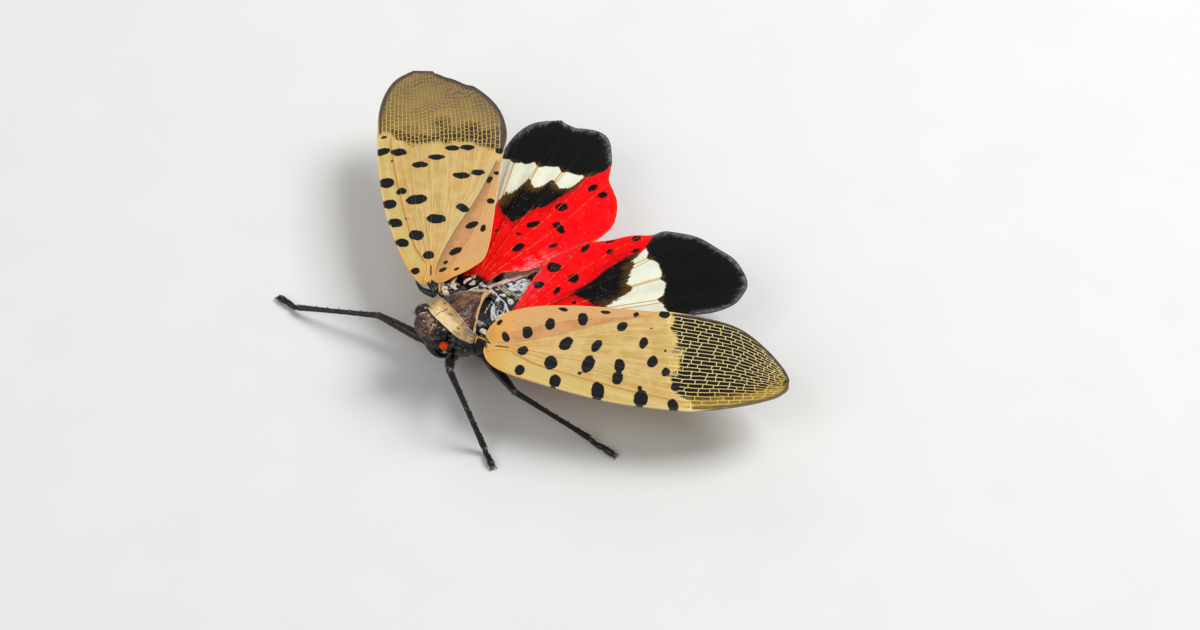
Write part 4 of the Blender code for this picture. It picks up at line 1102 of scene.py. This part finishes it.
abdomen = {
    "segments": 6, "steps": (210, 200), "tipSteps": (40, 80),
    # lines across the second segment, each with its y, width and strength
    "tanLines": ((4.42, 0.1, 1.0), (4.76, 0.08, 0.8)), "waxLines": ((4.6, 0.035, 1.0), (4.9, 0.03, 1.0))}


def makeAbdomen():
    rings = bodyRings(stations["abdomen"], *abdomen["steps"])
    first, last = rings[0, 0, 1], rings[-1, 0, 1]
    phase = (rings[..., 1] - first) / (last - first) * abdomen["segments"]
    inside = phase - np.floor(np.minimum(phase, abdomen["segments"] - 0.001))
    lumps = grain(rings, 0.35, 31)
    rings = swell(rings, 0.09 * inside - 0.13 * ramp(inside, 0.9, 1.0) - 0.07 * bell(inside, 0.08)
                  + 0.035 * lumps - 0.03)
    x, y, z = np.moveaxis(rings, -1, 0)
    patches = grain(rings, 0.55, 33)
    upper, flank = ramp(z, 3.0, 3.3), ramp(np.abs(x), 1.15, 1.55) * ramp(z, 2.4, 2.8)
    bend = y - 0.1 * np.sin(x * 2) + 0.03 * lumps
    tan, lines = (upper * ramp(patches, -0.35, 0.0) * np.maximum.reduce(
        [strength * bell(bend - place, width) for place, width, strength in abdomen[kind]])
        for kind in ("tanLines", "waxLines"))
    rear = ramp(np.abs(x) + 0.5 * patches, 1.5, 0.9) * ramp(inside + 0.25 * patches, 0.2, 0.45)
    rear = rear * (0.45 + 0.35 * lumps + 0.55 * patches) * ramp(y, 9.6, 8.0)
    middle = (0.62 + 0.5 * lumps + 0.3 * patches) * ramp(y, 4.9, 5.2) * ramp(y, 6.9, 6.2)
    middle = middle * ramp(np.abs(x), 1.45, 1.1)
    wax = np.maximum.reduce([np.maximum(rear, middle) * upper * (1 - tan), 0.9 * lines,
                             0.55 * flank * ramp(lumps, 0.05, 0.3)])
    bag = Bag()
    skin = flank * (0.75 + 0.3 * bell(inside, 0.2)) * (1 - tan)
    bag.add(rings, ringFaces(rings), wax=wax, skin=skin, tan=tan)
    tip = roundEnds(bodyRings(stations["abdomen_tip"], *abdomen["tipSteps"]), 0.1, 0.15)
    tip = swell(tip, 0.03 * grain(tip, 0.25, 37) - 0.02)
    bag.add(tip, ringFaces(tip), rim=0.3)
    bag.make("abdomen", [blackShell], "abdomen", ["abdomen", "abdomen_tip"])


# Head

head = {"neck": (0.0, -1.0, 4.6), "shift": -0.12, "turn": 4.0, "steps": (170, 240),
        "eye": {"place": (1.25, -1.98, 5.38), "radii": (0.49, 0.6, 0.48)},
        "antenna": {"root": (1.14, -1.85, 4.38), "way": (0.9, -0.3, 0.08), "bulb": (0.52, 0.3, 0.33),
                    "bend": (0, -0.12, 0.1),
                    "collar": {"reach": (-0.15, 0.26), "at": (-0.15, 0.02, 0.1, 0.16, 0.2, 0.26),
                               "radii": (0.33, 0.36, 0.33, 0.22, 0.17, 0.14)}},
        "bumps": [(-0.8, -2.0, 0.22), (0.62, -2.12, 0.1), (0.05, -2.62, 0.12), (0.5, -2.62, 0.07),
                  (-0.5, -2.3, 0.09), (0.3, -2.02, 0.08), (-0.15, -2.05, 0.1)],
        "pits": [(0.5, -2.0, 0.1), (-0.36, -2.17, 0.12), (0.6, -2.35, 0.09), (0.05, -2.62, 0.05),
                 (-0.75, -2.3, 0.08), (0.05, -1.95, 0.08), (0.3, -2.9, 0.07), (-0.35, -2.88, 0.07)],
        "tan": [(0.42, -2.4, 0.34)]}
headShades = {"tan": (0.24, 0.135, 0.078), "brown": (0.070, 0.037, 0.022), "dark": (0.010, 0.007, 0.006),
              "pale": (0.76, 0.60, 0.42), "sand": (0.46, 0.29, 0.17), "orange": (0.62, 0.22, 0.04),
              "black": (0.007, 0.006, 0.007)}
eyeShades = {"black": (0.006, 0.005, 0.005), "blue": (0.014, 0.015, 0.020)}
antennaShades = {"red": (0.93, 0.055, 0.008), "bright": (0.96, 0.10, 0.018), "deep": (0.60, 0.03, 0.006)}


def turned(points):                     # the head is turned a little about the neck
    turn = math.radians(-head["turn"])
    x, y, z = np.moveaxis(np.asarray(points, float) - head["neck"], -1, 0)
    across, back = x * math.cos(turn) - y * math.sin(turn), x * math.sin(turn) + y * math.cos(turn)
    return np.stack([across + head["shift"], back, z], -1) + head["neck"]


def eyeAt(side):
    return np.array(head["eye"]["place"]) * (side, 1, 1), head["eye"]["radii"]


def eyeReach(points, side):             # 1 on the eye's own surface
    centre, radii = eyeAt(side)
    return np.linalg.norm((points - centre) / radii, axis=-1)


def headPaint():
    constants = {"Specular IOR Level": 0.15, "Coat Weight": 0.4, "Coat Roughness": 0.1}
    paint = Finish("headShell", constants, headShades)
    tan, pale, pit, orange, low = paint.fields("tan", "pale", "pit", "orange", "low")
    lump, fine, tiny = paint.speckle(0.4, 3.0), paint.speckle(0.14, 3.0), paint.speckle(0.045, 2.0)
    lumpy, rough, pricked = lump - 0.5, fine - 0.5, tiny - 0.5
    colour = paint.layers(
        "brown",
        ((lump + rough * 0.5).step(0.4, 0.62), "tan"),
        ((fine + pricked * 0.3).step(0.56, 0.66) * 0.85, "dark"),
        ((tan + rough * 1.2).step(0.3, 0.75) * 0.85, paint.mix(fine.step(0.4, 0.6), "sand", "tan")),
        ((pale + rough * 1.3 + pricked * 0.7).step(0.45, 0.75), "pale"),
        ((pit + rough * 0.3).step(0.35, 0.6), "dark"),
        ((orange + rough * 0.4).step(0.4, 0.7), "orange"),
        # black low parts, with painted shade on the right side
        ((low + lumpy * 0.5).step(0.3, 0.7), "black"))
    return paint.feed(colour, 0.33 + 0.2 * fine, (fine * 0.6 + tiny * 0.4, 0.07, 0.9))


def makeHead():
    rings = roundEnds(bodyRings(stations["head"], *head["steps"]), 0.14, 0.0)
    x, y, z = np.moveaxis(rings, -1, 0)
    out = np.abs(x)
    reach = np.minimum(eyeReach(rings, 1), eyeReach(rings, -1))
    top = ramp(z, 5.0, 5.5)
    lumps, fine = grain(rings, 0.24, 41), grain(rings, 0.09, 43)
    bend, sway = grain(rings, 0.2, 45), grain(rings, 0.2, 47)
    orbit = bell(reach - 1.13, 0.09)
    brow = bell(y + 2.72 + 0.12 * x ** 2, 0.09) * top
    cheek = bell(z - 4.85 + 0.25 * (y + 2.2), 0.06) * ramp(out, 0.95, 1.15)
    bump = dots(x + 0.13 * bend, y + 0.13 * sway, head["bumps"]) * top
    pit = dots(x + 0.08 * bend, y, head["pits"]) * top
    crest = dots(out, y, [(0.72, -2.02 - 0.28 * step, 0.22) for step in (-1, 0, 1)])
    relief = (0.06 + 0.08 * top) * orbit + 0.16 * np.minimum(crest, 1) * top * ramp(reach, 0.98, 1.1)
    relief += 0.07 * brow + 0.05 * bell(x, 0.07) * ramp(y, -1.9, -2.1) * top + 0.07 * cheek
    relief += 0.06 * bell(out - 0.62 - 0.25 * ramp(z, 5.6, 4.2), 0.06) * ramp(y, -2.55, -2.8)
    relief += 0.06 * bell(out - 0.5, 0.08) * ramp(z, 4.2, 3.6) * ramp(y, -1.9, -2.3)
    relief += 0.05 * bell(y + 1.83, 0.05) * top + 0.08 * bump - 0.10 * pit
    relief += 0.05 * lumps + 0.02 * fine - 0.05 * ramp(reach, 1.1, 0.9)
    pale = 0.95 * bump + 0.7 * bell(y + 1.82, 0.04) * top + 0.55 * crest * top * ramp(fine + bend, -0.1, 0.3)
    pale += 0.25 * brow + 0.4 * orbit * ramp(fine, 0.0, 0.4)
    orange = 0.9 * bell(np.hypot(x - 0.66, z - 5.5), 0.08) * (y < -2.5)
    orange += 0.75 * bell(reach - 1.05, 0.04) * top
    # darker toward the bottom, and painted shade on the head's right side (x < 0), away from the light
    low = ramp(z, 5.15, 4.65) + 0.35 * ramp(y, -2.6, -3.0) * ramp(z, 5.4, 5.0) + 0.3 * ramp(-x, 0.5, 1.1)
    low += 0.6 * ramp(-x, -0.25, 0.35) * ramp(y, -2.3, -2.75)
    bag = Bag()
    bag.add(turned(swell(rings, relief)), ringFaces(rings), pale=pale, orange=orange,
            low=low * (1 - 0.5 * cheek), tan=dots(x + 0.2 * bend, y + 0.2 * sway, head["tan"]) * top,
            pit=pit + 0.5 * ramp(reach, 1.06, 1.0))
    bag.make("head", [headPaint()], "head", ["head"])
    makeEyes()
    print("head and eyes done")


def makeEyes():
    constants = {"Roughness": 0.4, "Specular IOR Level": 0.1, "Coat Weight": 0.7, "Coat Roughness": 0.12}
    glass = Finish("eyeGlass", constants, eyeShades)
    shine = glass.mix(glass.speckle(0.5, 2.0).step(0.4, 0.65), "black", "blue")
    glass.feed(shine, relief=(glass.cells(0.05), -0.02, 0.6))
    for name, side in leftRight.items():
        points, faces = ball(*eyeAt(side), 60, 96)
        bag = Bag()
        bag.add(turned(points), faces)
        bag.make("eye_" + name, [glass.material], "eye", ["eye_" + name])


def antennaPaint():
    paint = Finish("antennaBulb", {"Specular IOR Level": 0.12}, antennaShades)
    grains, lump = paint.cells(0.055), paint.speckle(0.2, 2.0)
    colour = paint.layers(
        "red",
        (lump.step(0.35, 0.65), "bright"),
        (grains.step(0.42, 0.7) * 0.4, "deep"))
    return paint.feed(colour, 0.4 + 0.1 * lump, (grains, -0.04, 1.0))


def makeAntennae():
    sizes, red = head["antenna"], antennaPaint()
    for name, side in leftRight.items():
        root, way = np.array(sizes["root"]) * (side, 1, 1), unit(np.array(sizes["way"]) * (side, 1, 1))
        collar, (centre, radius, half) = np.linspace(*sizes["collar"]["reach"], 16), sizes["bulb"]
        girth = np.interp(collar, sizes["collar"]["at"], sizes["collar"]["radii"])
        turn = np.linspace(0, math.pi, 40)
        profile = radius * np.sin(turn) ** 0.85 * (1 + 0.12 * np.cos(turn)) + 0.004
        bulb = root + way * (centre - half * np.cos(turn))[:, None]
        share = np.linspace(0, 1, 14)[:, None]
        bristle = root + way * (centre + half - 0.03 + 0.45 * share) + sizes["bend"] * share ** 2
        bag = Bag()
        bag.add(*tube(turned(root + way * collar[:, None]), girth, 40), 1, rim=0.45)
        bag.add(*tube(turned(bulb), profile, 56))
        bag.add(*tube(turned(bristle), (0.035, 0.02, 0.01), 10), 1)
        bag.make("antenna_" + name, [red, blackShell], "antenna", ["antenna_" + name])
    print("antennae done")


beak = {"path": [(-0.2, -2.2, 3.95), (-0.18, -2.15, 3.2), (-0.08, -1.9, 2.4), (0.0, -1.35, 1.75),
                 (0.0, -0.6, 1.45), (0.0, 0.8, 1.35), (0.0, 2.15, 1.42)],
        "at": (0, 0.15, 0.3, 0.5, 0.52, 0.8, 0.82, 0.97, 1),
        "radii": (0.42, 0.4, 0.3, 0.21, 0.17, 0.18, 0.14, 0.1, 0.03), "rows": 120}


def makeBeak():
    radii = np.interp(np.linspace(0, 1, beak["rows"]), beak["at"], beak["radii"])
    bag = Bag()
    bag.add(*tube(smoothThrough(beak["path"], beak["rows"]), radii, 24, up=(1, 0, 0), ends=0.5), rim=0.25)
    bag.make("beak", [blackShell], "shell", ["beak"])


# Forewing hinges: plates, strands and a small orange shield

hinge = {
    "path": [(1.6, 0.7, 4.35), (2.3, 0.42, 4.5), (2.85, 0.2, 4.7)], "neck": (0.42, 0.34, 0.24), "strands": 7,
    "cup": [(2.5, 0.3, 4.5), (3.0, -0.02, 4.6), (3.4, -0.28, 4.68), (3.85, -0.42, 4.74), (4.6, -0.36, 4.82)],
    "bar": {"left": [(2.85, -0.48, 4.85), (2.72, -0.3, 5.02), (2.7, -0.12, 5.08), (2.95, 0.06, 5.1),
                     (3.35, 0.2, 5.06)],
            "right": [(-2.45, 0.12, 4.9), (-2.6, 0.3, 5.02), (-2.85, 0.45, 5.08), (-3.2, 0.7, 5.06)]},
    # lumps of shell, of waxy skin and of tan skin: centre and radii
    "black": [((1.95, 1.4, 4.75), (0.32, 0.4, 0.2)), ((2.35, 1.0, 4.62), (0.26, 0.3, 0.2)),
              ((2.45, 1.75, 4.5), (0.25, 0.35, 0.16)), ((3.0, 1.75, 4.62), (0.3, 0.28, 0.1))],
    "waxy": [((2.8, 1.2, 4.7), (0.32, 0.42, 0.15)), ((2.15, 1.95, 4.66), (0.3, 0.22, 0.14))],
    "tan": [((2.72, 0.8, 4.86), (0.24, 0.26, 0.14)), ((2.3, 0.62, 4.9), (0.3, 0.22, 0.12)),
            ((2.75, 1.65, 4.68), (0.16, 0.24, 0.08))],
    "cream": [[(3.3, 2.3, 4.78), (2.96, 1.73, 4.84), (2.62, 1.4, 4.86), (2.3, 1.45, 4.84), (2.0, 1.62, 4.8)],
              [(2.5, 2.3, 4.62), (2.62, 2.6, 4.68), (2.68, 3.05, 4.6)]]}
hingeShades = {"orange": (0.62, 0.24, 0.03), "amber": (0.72, 0.42, 0.11), "sand": (0.50, 0.36, 0.20),
               "cream": (0.82, 0.72, 0.55)}


def hingePaint():                       # orange, or cream where the piece's cream value is high
    paint = Finish("hingeSkin", {"Specular IOR Level": 0.2}, hingeShades)
    cream, = paint.fields("cream")
    lump, fine = paint.speckle(0.2, 3.0), paint.speckle(0.09, 2.0)
    pale = paint.mix((lump + (fine - 0.5) * 0.4).step(0.4, 0.6), "sand", "cream")
    colour = paint.layers("orange", (lump.step(0.35, 0.65), "amber"), (cream, pale))
    return paint.feed(colour, 0.4 + 0.15 * fine, (fine, 0.03, 0.6))


def makeHinges():
    skin = hingePaint()
    for name, side in leftRight.items():
        wing = Wing("forewing_" + name)
        flip = np.array((side, 1, 1))
        bag = Bag()
        neck = smoothThrough([*np.array(hinge["path"]) * flip, wing.root], 40)
        share = np.linspace(0, 1, 40)
        girth = np.interp(share, (0, 0.5, 1), hinge["neck"]) * (1 + 0.12 * np.sin(14 * share))
        points, faces = tube(neck, girth, 28, ends=0.4)
        bag.add(points, faces, wax=0.1 + 0.5 * grain(points, 0.25, 51))
        for strand in range(hinge["strands"]):
            place = strand / (hinge["strands"] - 1)
            start = neck[20] + (0.0, 0.5 * (place - 0.6), 0.16 - 0.2 * abs(place - 0.4))
            over = 0.35 * bell(place - 0.45, 0.3)    # the middle strands lie on the wing's base
            end = wing.lift(np.array([[0.25 + over, -0.4 + 0.62 * place]]), 0.02)[0]
            middle = (start + end) / 2 + (0, 0, 0.12 + 0.04 * math.cos(strand * 1.7))
            line = smoothThrough([start, middle, end], 22)
            points, faces = tube(line, (0.06, 0.12, 0.09, 0.03), 12, ends=0.3)
            bag.add(points, faces, wax=0.75 * (strand == 2) * ramp(grain(points, 0.12, 52), -0.1, 0.3))
        bar = smoothThrough(hinge["bar"][name], 30)
        bag.add(*tube(bar, (0.03, 0.085, 0.08, 0.05), 14, ends=0.3), 1)
        bag.add(*tube(bar - (0.02 * side, 0.05, 0.07), (0.05, 0.12, 0.12, 0.06), 14, ends=0.3))
        cup = smoothThrough(hinge["cup"] * flip, 40)
        points, faces = tube(cup, (0.24, 0.25, 0.22, 0.16, 0.03), 20, ends=0.4)
        bag.add(points, faces, wax=0.3 * grain(points, 0.3, 54))
        for kind, slot, wax in (("black", 0, 0.12), ("waxy", 0, 0.42), ("tan", 1, 0.0)):
            for centre, radii in hinge[kind]:
                points, faces = ball(centre * flip, radii, 30, 44)
                points = swell(points, 0.05 * grain(points, 0.15, 53))
                bag.add(points, faces, slot, wax=wax + 0.25 * grain(points, 0.45, 57), cream=1.0)
        for cord in hinge["cream"]:
            points, faces = tube(smoothThrough(cord * flip, 40), (0.05, 0.1, 0.13, 0.11, 0.07), 14,
                                 heights=(0.04, 0.06, 0.08, 0.06), ends=0.3)
            bag.add(points + 0.02 * grain(points, 0.2, 59)[..., None], faces, 1, cream=1.0)
        bag.make("forewing_root_" + name, [blackShell, skin], "shell", ["forewing_root_" + name])
    print("hinges done")


# Legs

legs = {                                # trunk, hip, knee, ankle and toe
    "front_left": [(1.2, -0.75, 3.0), (0.66, -1.15, 1.8), (4.14, -3.48, 5.1), (7.85, -3.3, 0.5),
                   (9.5, -3.72, 0.24)],
    "front_right": [(-1.2, -0.75, 3.0), (-0.66, -1.15, 1.78), (-5.55, -2.95, 2.1), (-10.85, -6.3, 0.5),
                    (-12.9, -6.75, 0.24)],
    "middle_left": [(1.5, 0.9, 2.8), (1.3, 1.0, 1.65), (7.2, -0.2, 3.55), (11.4, 3.05, 0.5),
                    (13.6, 3.7, 0.24)],
    "middle_right": [(-1.5, 0.9, 2.8), (-1.3, 1.1, 1.65), (-6.0, 2.9, 3.9), (-10.1, 5.7, 0.5),
                     (-11.9, 6.8, 0.24)],
    "hind_left": [(1.45, 2.9, 2.8), (1.25, 3.1, 1.6), (4.5, 7.5, 3.3), (7.0, 13.8, 0.5), (8.0, 15.7, 0.24)],
    "hind_right": [(-1.45, 2.9, 2.8), (-1.25, 3.1, 1.6), (-4.6, 7.5, 2.9), (-7.3, 13.8, 0.5),
                   (-8.3, 15.7, 0.24)]}
legSizes = {"coxa": (0.42, 0.5, 0.46, 0.33), "femur": (0.2, 0.28, 0.35, 0.35, 0.3, 0.24), "bow": 0.1,
            "tibia": (0.24, 0.21, 0.19, 0.19, 0.2, 0.24), "hip": (0.34, 0.34, 0.34),
            "knee": (0.26, 0.26, 0.26), "spines": {"front": 5, "middle": 5, "hind": 6},
            "spineLength": {"front": 0.08, "middle": 0.08, "hind": 0.5}, "foot": (0.15, 0.2, 0.16)}
legShades = {"black": (0.008, 0.007, 0.008), "brown": (0.020, 0.015, 0.013), "rim": (0.085, 0.03, 0.015),
             "wax": shellShades["wax"]}


def legPaint():
    constants = {"Specular IOR Level": 0.2, "Coat Weight": 0.4, "Coat Roughness": 0.1}
    paint = Finish("legShell", constants, legShades)
    rim, wax = paint.fields("rim", "wax")
    fine, lump = paint.speckle(0.09, 3.0), paint.speckle(0.5, 2.0)
    colour = paint.layers(
        "black",
        (lump.step(0.4, 0.7), "brown"),
        ((rim + (fine - 0.5) * 0.5).step(0.4, 0.8), "rim"),
        ((wax + (fine - 0.5) * 0.9).step(0.45, 0.7) * 0.8, "wax"))
    return paint.feed(colour, 0.3 + 0.15 * fine, (fine, 0.04, 0.7))


def limb(bag, start, end, radii, bow=0.0, square=0.0, sides=20, rows=60, **fields):
    share = np.linspace(0, 1, rows)[:, None]
    line = start + (end - start) * share + np.array((0, 0, bow)) * np.sin(math.pi * share)
    widths = smoothThrough([(radius,) for radius in radii], rows)[:, 0]
    widths[[0, -1]] *= 0.55
    rings, faces = tube(line, widths, sides)
    centre = rings.mean(1, keepdims=True)
    angles = 2 * math.pi * np.arange(sides) / sides
    rings = centre + (rings - centre) * (1 + square * np.cos(4 * angles))[:, None]
    bag.add(rings + (rings - centre) * 0.10 * grain(rings, 0.3, 61)[..., None], faces, **fields)


def squareTo(ahead):                    # two ways square to a leg: sideways, and up
    outer = unit(np.cross(ahead, (0, 0, 1)))
    return outer, np.cross(outer, ahead)


def aroundLeg(ahead, turn):
    outer, over = squareTo(ahead)
    return outer * math.cos(turn) + over * math.sin(turn)


def addSpines(bag, knee, ankle, pair):
    ahead = unit(ankle - knee)
    count, length = legSizes["spines"][pair], legSizes["spineLength"][pair]
    for order in range(count):
        for row, turn in enumerate((0.6,) if pair == "hind" else (0.6, 2.5)):
            aside = aroundLeg(ahead, turn)
            spot = knee + (ankle - knee) * (0.22 + 0.7 * (order + 0.4 * row) / count)
            base, way = spot + aside * 0.2, unit(aside + ahead * 0.9)
            line = [spot + aside * 0.15, base + way * length * 0.5, base + way * length]
            bag.add(*tube(line, (0.06, 0.045, 0.008), 8), rim=0.2)
    for order in range(6):              # a ring of short spurs at the ankle
        aside = aroundLeg(ahead, 2 * math.pi * order / 6)
        line = [ankle - ahead * 0.12 + aside * 0.15, ankle + ahead * 0.12 + aside * 0.26]
        bag.add(*tube(line, (0.05, 0.012), 7), rim=0.3)


def addFoot(bag, ankle, toe):
    joints = [ankle]
    for share, level in ((0.22, 0.23), (0.55, 0.31), (0.9, 0.21)):
        joints.append(np.array((*(ankle + (toe - ankle) * share)[:2], level)))
    for start, end, size in zip(joints[:-1], joints[1:], (0.95, 1.1, 1.25)):
        radii = np.multiply(legSizes["foot"], size) * (1, 1, 1.15)
        limb(bag, start, end + unit(end - start) * 0.05, radii, rows=18, sides=16, rim=0.35)
    ahead = unit(joints[-1] - joints[-2])
    outer, _ = squareTo(ahead)
    base = joints[-1] + ahead * 0.02
    for side in leftRight.values():     # two claws that reach down to the ground
        claw = [base + ahead * long + outer * side * wide + (0, 0, up)
                for long, wide, up in ((0, 0.06, 0), (0.16, 0.16, 0.05), (0.27, 0.22, -0.06), (0.3, 0.22, 0))]
        claw[-1][2] = 0.015
        bag.add(*tube(smoothThrough(claw, 16), (0.06, 0.05, 0.035, 0.012), 10), 1)
    points, faces = ball(base + ahead * 0.16 - (0, 0, 0.08), (0.13, 0.13, 0.1), 18, 24)
    bag.add(np.maximum(points, (-np.inf, -np.inf, 0.0)), faces, 2)      # the pad is flat on the ground


def makeLegs():
    claws = Finish("clawHorn", {"Base Color": (0.10, 0.03, 0.012, 1), "Roughness": 0.25, "Coat Weight": 0.4})
    pads = Finish("footPad", {"Base Color": (0.20, 0.12, 0.08, 1), "Roughness": 0.6})
    materials = [legPaint(), claws.material, pads.material]
    for name, joints in legs.items():
        trunk, hip, knee, ankle, toe = np.array(joints)
        bag = Bag()
        limb(bag, trunk + (0, 0, 0.3), hip, legSizes["coxa"], rows=24, rim=0.1)
        bag.add(*ball(hip, legSizes["hip"], 20, 28), rim=0.3)
        limb(bag, hip, knee, legSizes["femur"], bow=legSizes["bow"])
        bag.add(*ball(knee, legSizes["knee"], 20, 28), rim=0.5, wax=0.42)
        limb(bag, knee, ankle, legSizes["tibia"], square=0.07)
        addSpines(bag, knee, ankle, name.split("_")[0])
        addFoot(bag, ankle, toe)
        parts = [part + "_" + name for part in ("coxa", "femur", "tibia", "tarsus")]
        bag.make("leg_" + name, materials, "leg", parts)
    print("legs done")


# Hairs: short and pale, on the hinges, the head, the neck plate's rim and the legs

coat = {"width": 0.009, "droop": 0.25, "hinge": 20, "head": 110, "rim": 50, "leg": 26, "side": 14}


def hairs(roots, ways, lengths):        # fine three-sided hairs, bent halfway
    roots, ways, lengths = np.array(roots), unit(ways), np.array(lengths)[:, None]
    side = unit(np.cross(ways, np.where(np.abs(ways[:, 2:]) > 0.9, (1.0, 0, 0), (0, 0, 1.0))))
    other = np.cross(ways, side)
    tips = roots + lengths * unit(ways - (0, 0, coat["droop"]))
    middles = roots + lengths * 0.5 * ways
    width = coat["width"]
    points = [centre + radius * (math.cos(turn) * side + math.sin(turn) * other)
              for centre, radius in ((roots - ways * width, width), (middles, width * 0.7))
              for turn in (0.0, 2.1, 4.2)]
    pattern = [[0, 1, 4, 3], [1, 2, 5, 4], [2, 0, 3, 5], [3, 4, 6], [4, 5, 6], [5, 3, 6]]
    faces = [[corner + 7 * hair for corner in face] for hair in range(len(roots)) for face in pattern]
    return np.stack([*points, tips], 1), faces


def makeHairs():
    pale = Finish("hair", {"Base Color": (0.80, 0.78, 0.72, 1), "Roughness": 0.4, "Specular IOR Level": 0.3})
    roots, ways, lengths = [], [], []
    for name, side in leftRight.items():
        wing = Wing("forewing_" + name)
        for _ in range(coat["hinge"]):
            spot = np.array([[dice.uniform(0.0, 1.0), dice.uniform(-0.6, 0.5)]])
            roots.append(wing.lift(spot, 0.14)[0])
            ways.append(wing.span + wing.up * dice.uniform(0.1, 0.7) + wing.chord * dice.uniform(-0.3, 0.3))
            lengths.append(dice.uniform(0.1, 0.26))
        first, last = np.multiply(thorax["lobeFoot"], (side, 1, 1))
        for _ in range(coat["side"]):
            share, drop = dice.uniform(0.1, 1), dice.uniform(0.15, 1)
            top = lobeTop(side, share)
            roots.append(top + (first + (last - first) * share - top) * drop + (0.12 * side, -0.05, 0))
            ways.append((side, dice.uniform(-0.8, 0.2), dice.uniform(-0.6, 0.2)))
            lengths.append(dice.uniform(0.1, 0.22))
    rows = np.array(sorted(stations["head"]))
    for _ in range(coat["head"]):
        angle, y = dice.uniform(-0.9, 0.9) * math.pi / 2, dice.uniform(-3.0, -1.85)
        wide, top, middle = (np.interp(y, rows[:, 0], rows[:, key]) for key in (1, 2, 4))
        roots.append(turned((wide * math.sin(angle), y, middle + (top - middle) * math.cos(angle))))
        ways.append((math.sin(angle), dice.uniform(-0.9, -0.1), math.cos(angle)))
        lengths.append(dice.uniform(0.08, 0.16))
    for _ in range(coat["rim"]):
        across = dice.uniform(0.05, 0.95)
        roots.append(pronotumSheet(dice.choice((0.02, 0.98)), across) + (0, 0, 0.02))
        ways.append((2 * across - 1, dice.uniform(-0.6, 0.6), 0.6))
        lengths.append(dice.uniform(0.07, 0.13))
    for joints in legs.values():
        _, hip, knee, ankle, _ = np.array(joints)
        for _ in range(coat["leg"]):
            start, end = (hip, knee) if dice.uniform() < 0.4 else (knee, ankle)
            share, way = dice.uniform(0.05, 0.97), unit(dice.normal(size=3))
            ahead = unit(end - start)
            way = unit(way - ahead * (way @ ahead))
            roots.append(start + (end - start) * share + way * 0.19)
            ways.append(way + ahead * 0.8)
            lengths.append(dice.uniform(0.08, 0.15))
    bag = Bag()
    bag.add(*hairs(roots, ways, lengths))
    # every hair has a small square of its own on the flat layout
    side = math.ceil(math.sqrt(len(roots)))
    order = np.arange(len(roots))
    corner = [(0.2, 0.1), (0.5, 0.1), (0.8, 0.1), (0.2, 0.5), (0.5, 0.5), (0.8, 0.5), (0.5, 0.9)]
    flat = (np.stack([order % side, order // side], -1)[:, None] + corner) / side
    bag.make("hairs", [pale.material], "shell", flat=flat.reshape(-1, 2))
    print(len(roots), "hairs done")


for make in (makeThorax, makePronotum, makeMesonotum, makeBack, makeAbdomen, makeHead, makeAntennae, makeBeak,
             makeHinges, makeLegs, makeHairs):
    make()
print("body done")


# Stage: pale floor, soft light, and the camera

view = {"azimuth": 54.0, "elevation": 46.0, "distance": 300.0, "aside": 9.931, "height": 5.0,
        "lens": 129.6, "sensor": 36.0, "clip": (0.01, 10.0)}
lamps = [
    {"name": "key", "way": (0.8, 0.35, 1.1), "distance": 340, "size": 190, "power": 0.95},
    {"name": "fill", "way": (-0.8, -0.6, 0.9), "distance": 340, "size": 260, "power": 0.34},
    {"name": "rim", "way": (-0.35, 1.0, 0.5), "distance": 340, "size": 120, "power": 0.16}]
worldStrength = 0.28
floorHalf = 1.5                         # m


def aimed(name, data, spot, toward):    # a camera or a lamp that looks along toward
    thing = bpy.data.objects.new(name, data)
    bpy.context.scene.collection.objects.link(thing)
    thing.location = spot
    thing.rotation_mode = "QUATERNION"
    thing.rotation_quaternion = toward.to_track_quat("-Z", "Y")
    return thing


def makeFloor():
    mesh = bpy.data.meshes.new("floor")
    corners = [(floorHalf * x, floorHalf * y, 0) for x, y in ((-1, -1), (1, -1), (1, 1), (-1, 1))]
    mesh.from_pydata(corners, [], [(0, 1, 2, 3)])
    paint = Finish("floorPaper", {"Roughness": 0.85, "Specular IOR Level": 0.2})
    shade = paint.speckle(6.0, 3.0).step(0.2, 0.8)
    mesh.materials.append(paint.feed(paint.mix(shade, (0.80, 0.80, 0.79), (0.82, 0.82, 0.81))))
    floor = bpy.data.objects.new("floor", mesh)
    bpy.context.scene.collection.objects.link(floor)


def makeCamera():
    turn, tilt = math.radians(view["azimuth"]), math.radians(view["elevation"])
    back = Vector((math.sin(turn) * math.cos(tilt), -math.cos(turn) * math.cos(tilt), math.sin(tilt)))
    right = Vector((math.cos(turn), math.sin(turn), 0))
    aim = (Vector(bodyShift) + right * view["aside"] + Vector((0, 0, view["height"]))) * mm
    camera = aimed("camera", bpy.data.cameras.new("camera"), aim + back * view["distance"] * mm, -back)
    camera.data.lens, camera.data.sensor_width = view["lens"], view["sensor"]
    camera.data.clip_start, camera.data.clip_end = view["clip"]
    bpy.context.scene.camera = camera
    return aim, back, right


def makeLights(aim, back, right):
    away = Vector((-back.x, -back.y, 0)).normalized()
    for lamp in lamps:
        across, far, up = lamp["way"]
        way = (right * across + away * far + Vector((0, 0, up))).normalized()
        data = bpy.data.lights.new(lamp["name"], "AREA")
        data.energy, data.size = lamp["power"], lamp["size"] * mm
        aimed(lamp["name"], data, aim + way * lamp["distance"] * mm, -way)
    world = bpy.data.worlds.new("studio")
    world.use_nodes = True
    background = world.node_tree.nodes["Background"].inputs
    background["Color"].default_value = (1.0, 1.0, 1.0, 1.0)
    background["Strength"].default_value = worldStrength
    bpy.context.scene.world = world
    bpy.context.scene.view_settings.view_transform = "Standard"


makeFloor()
makeLights(*makeCamera())
print("stage done")
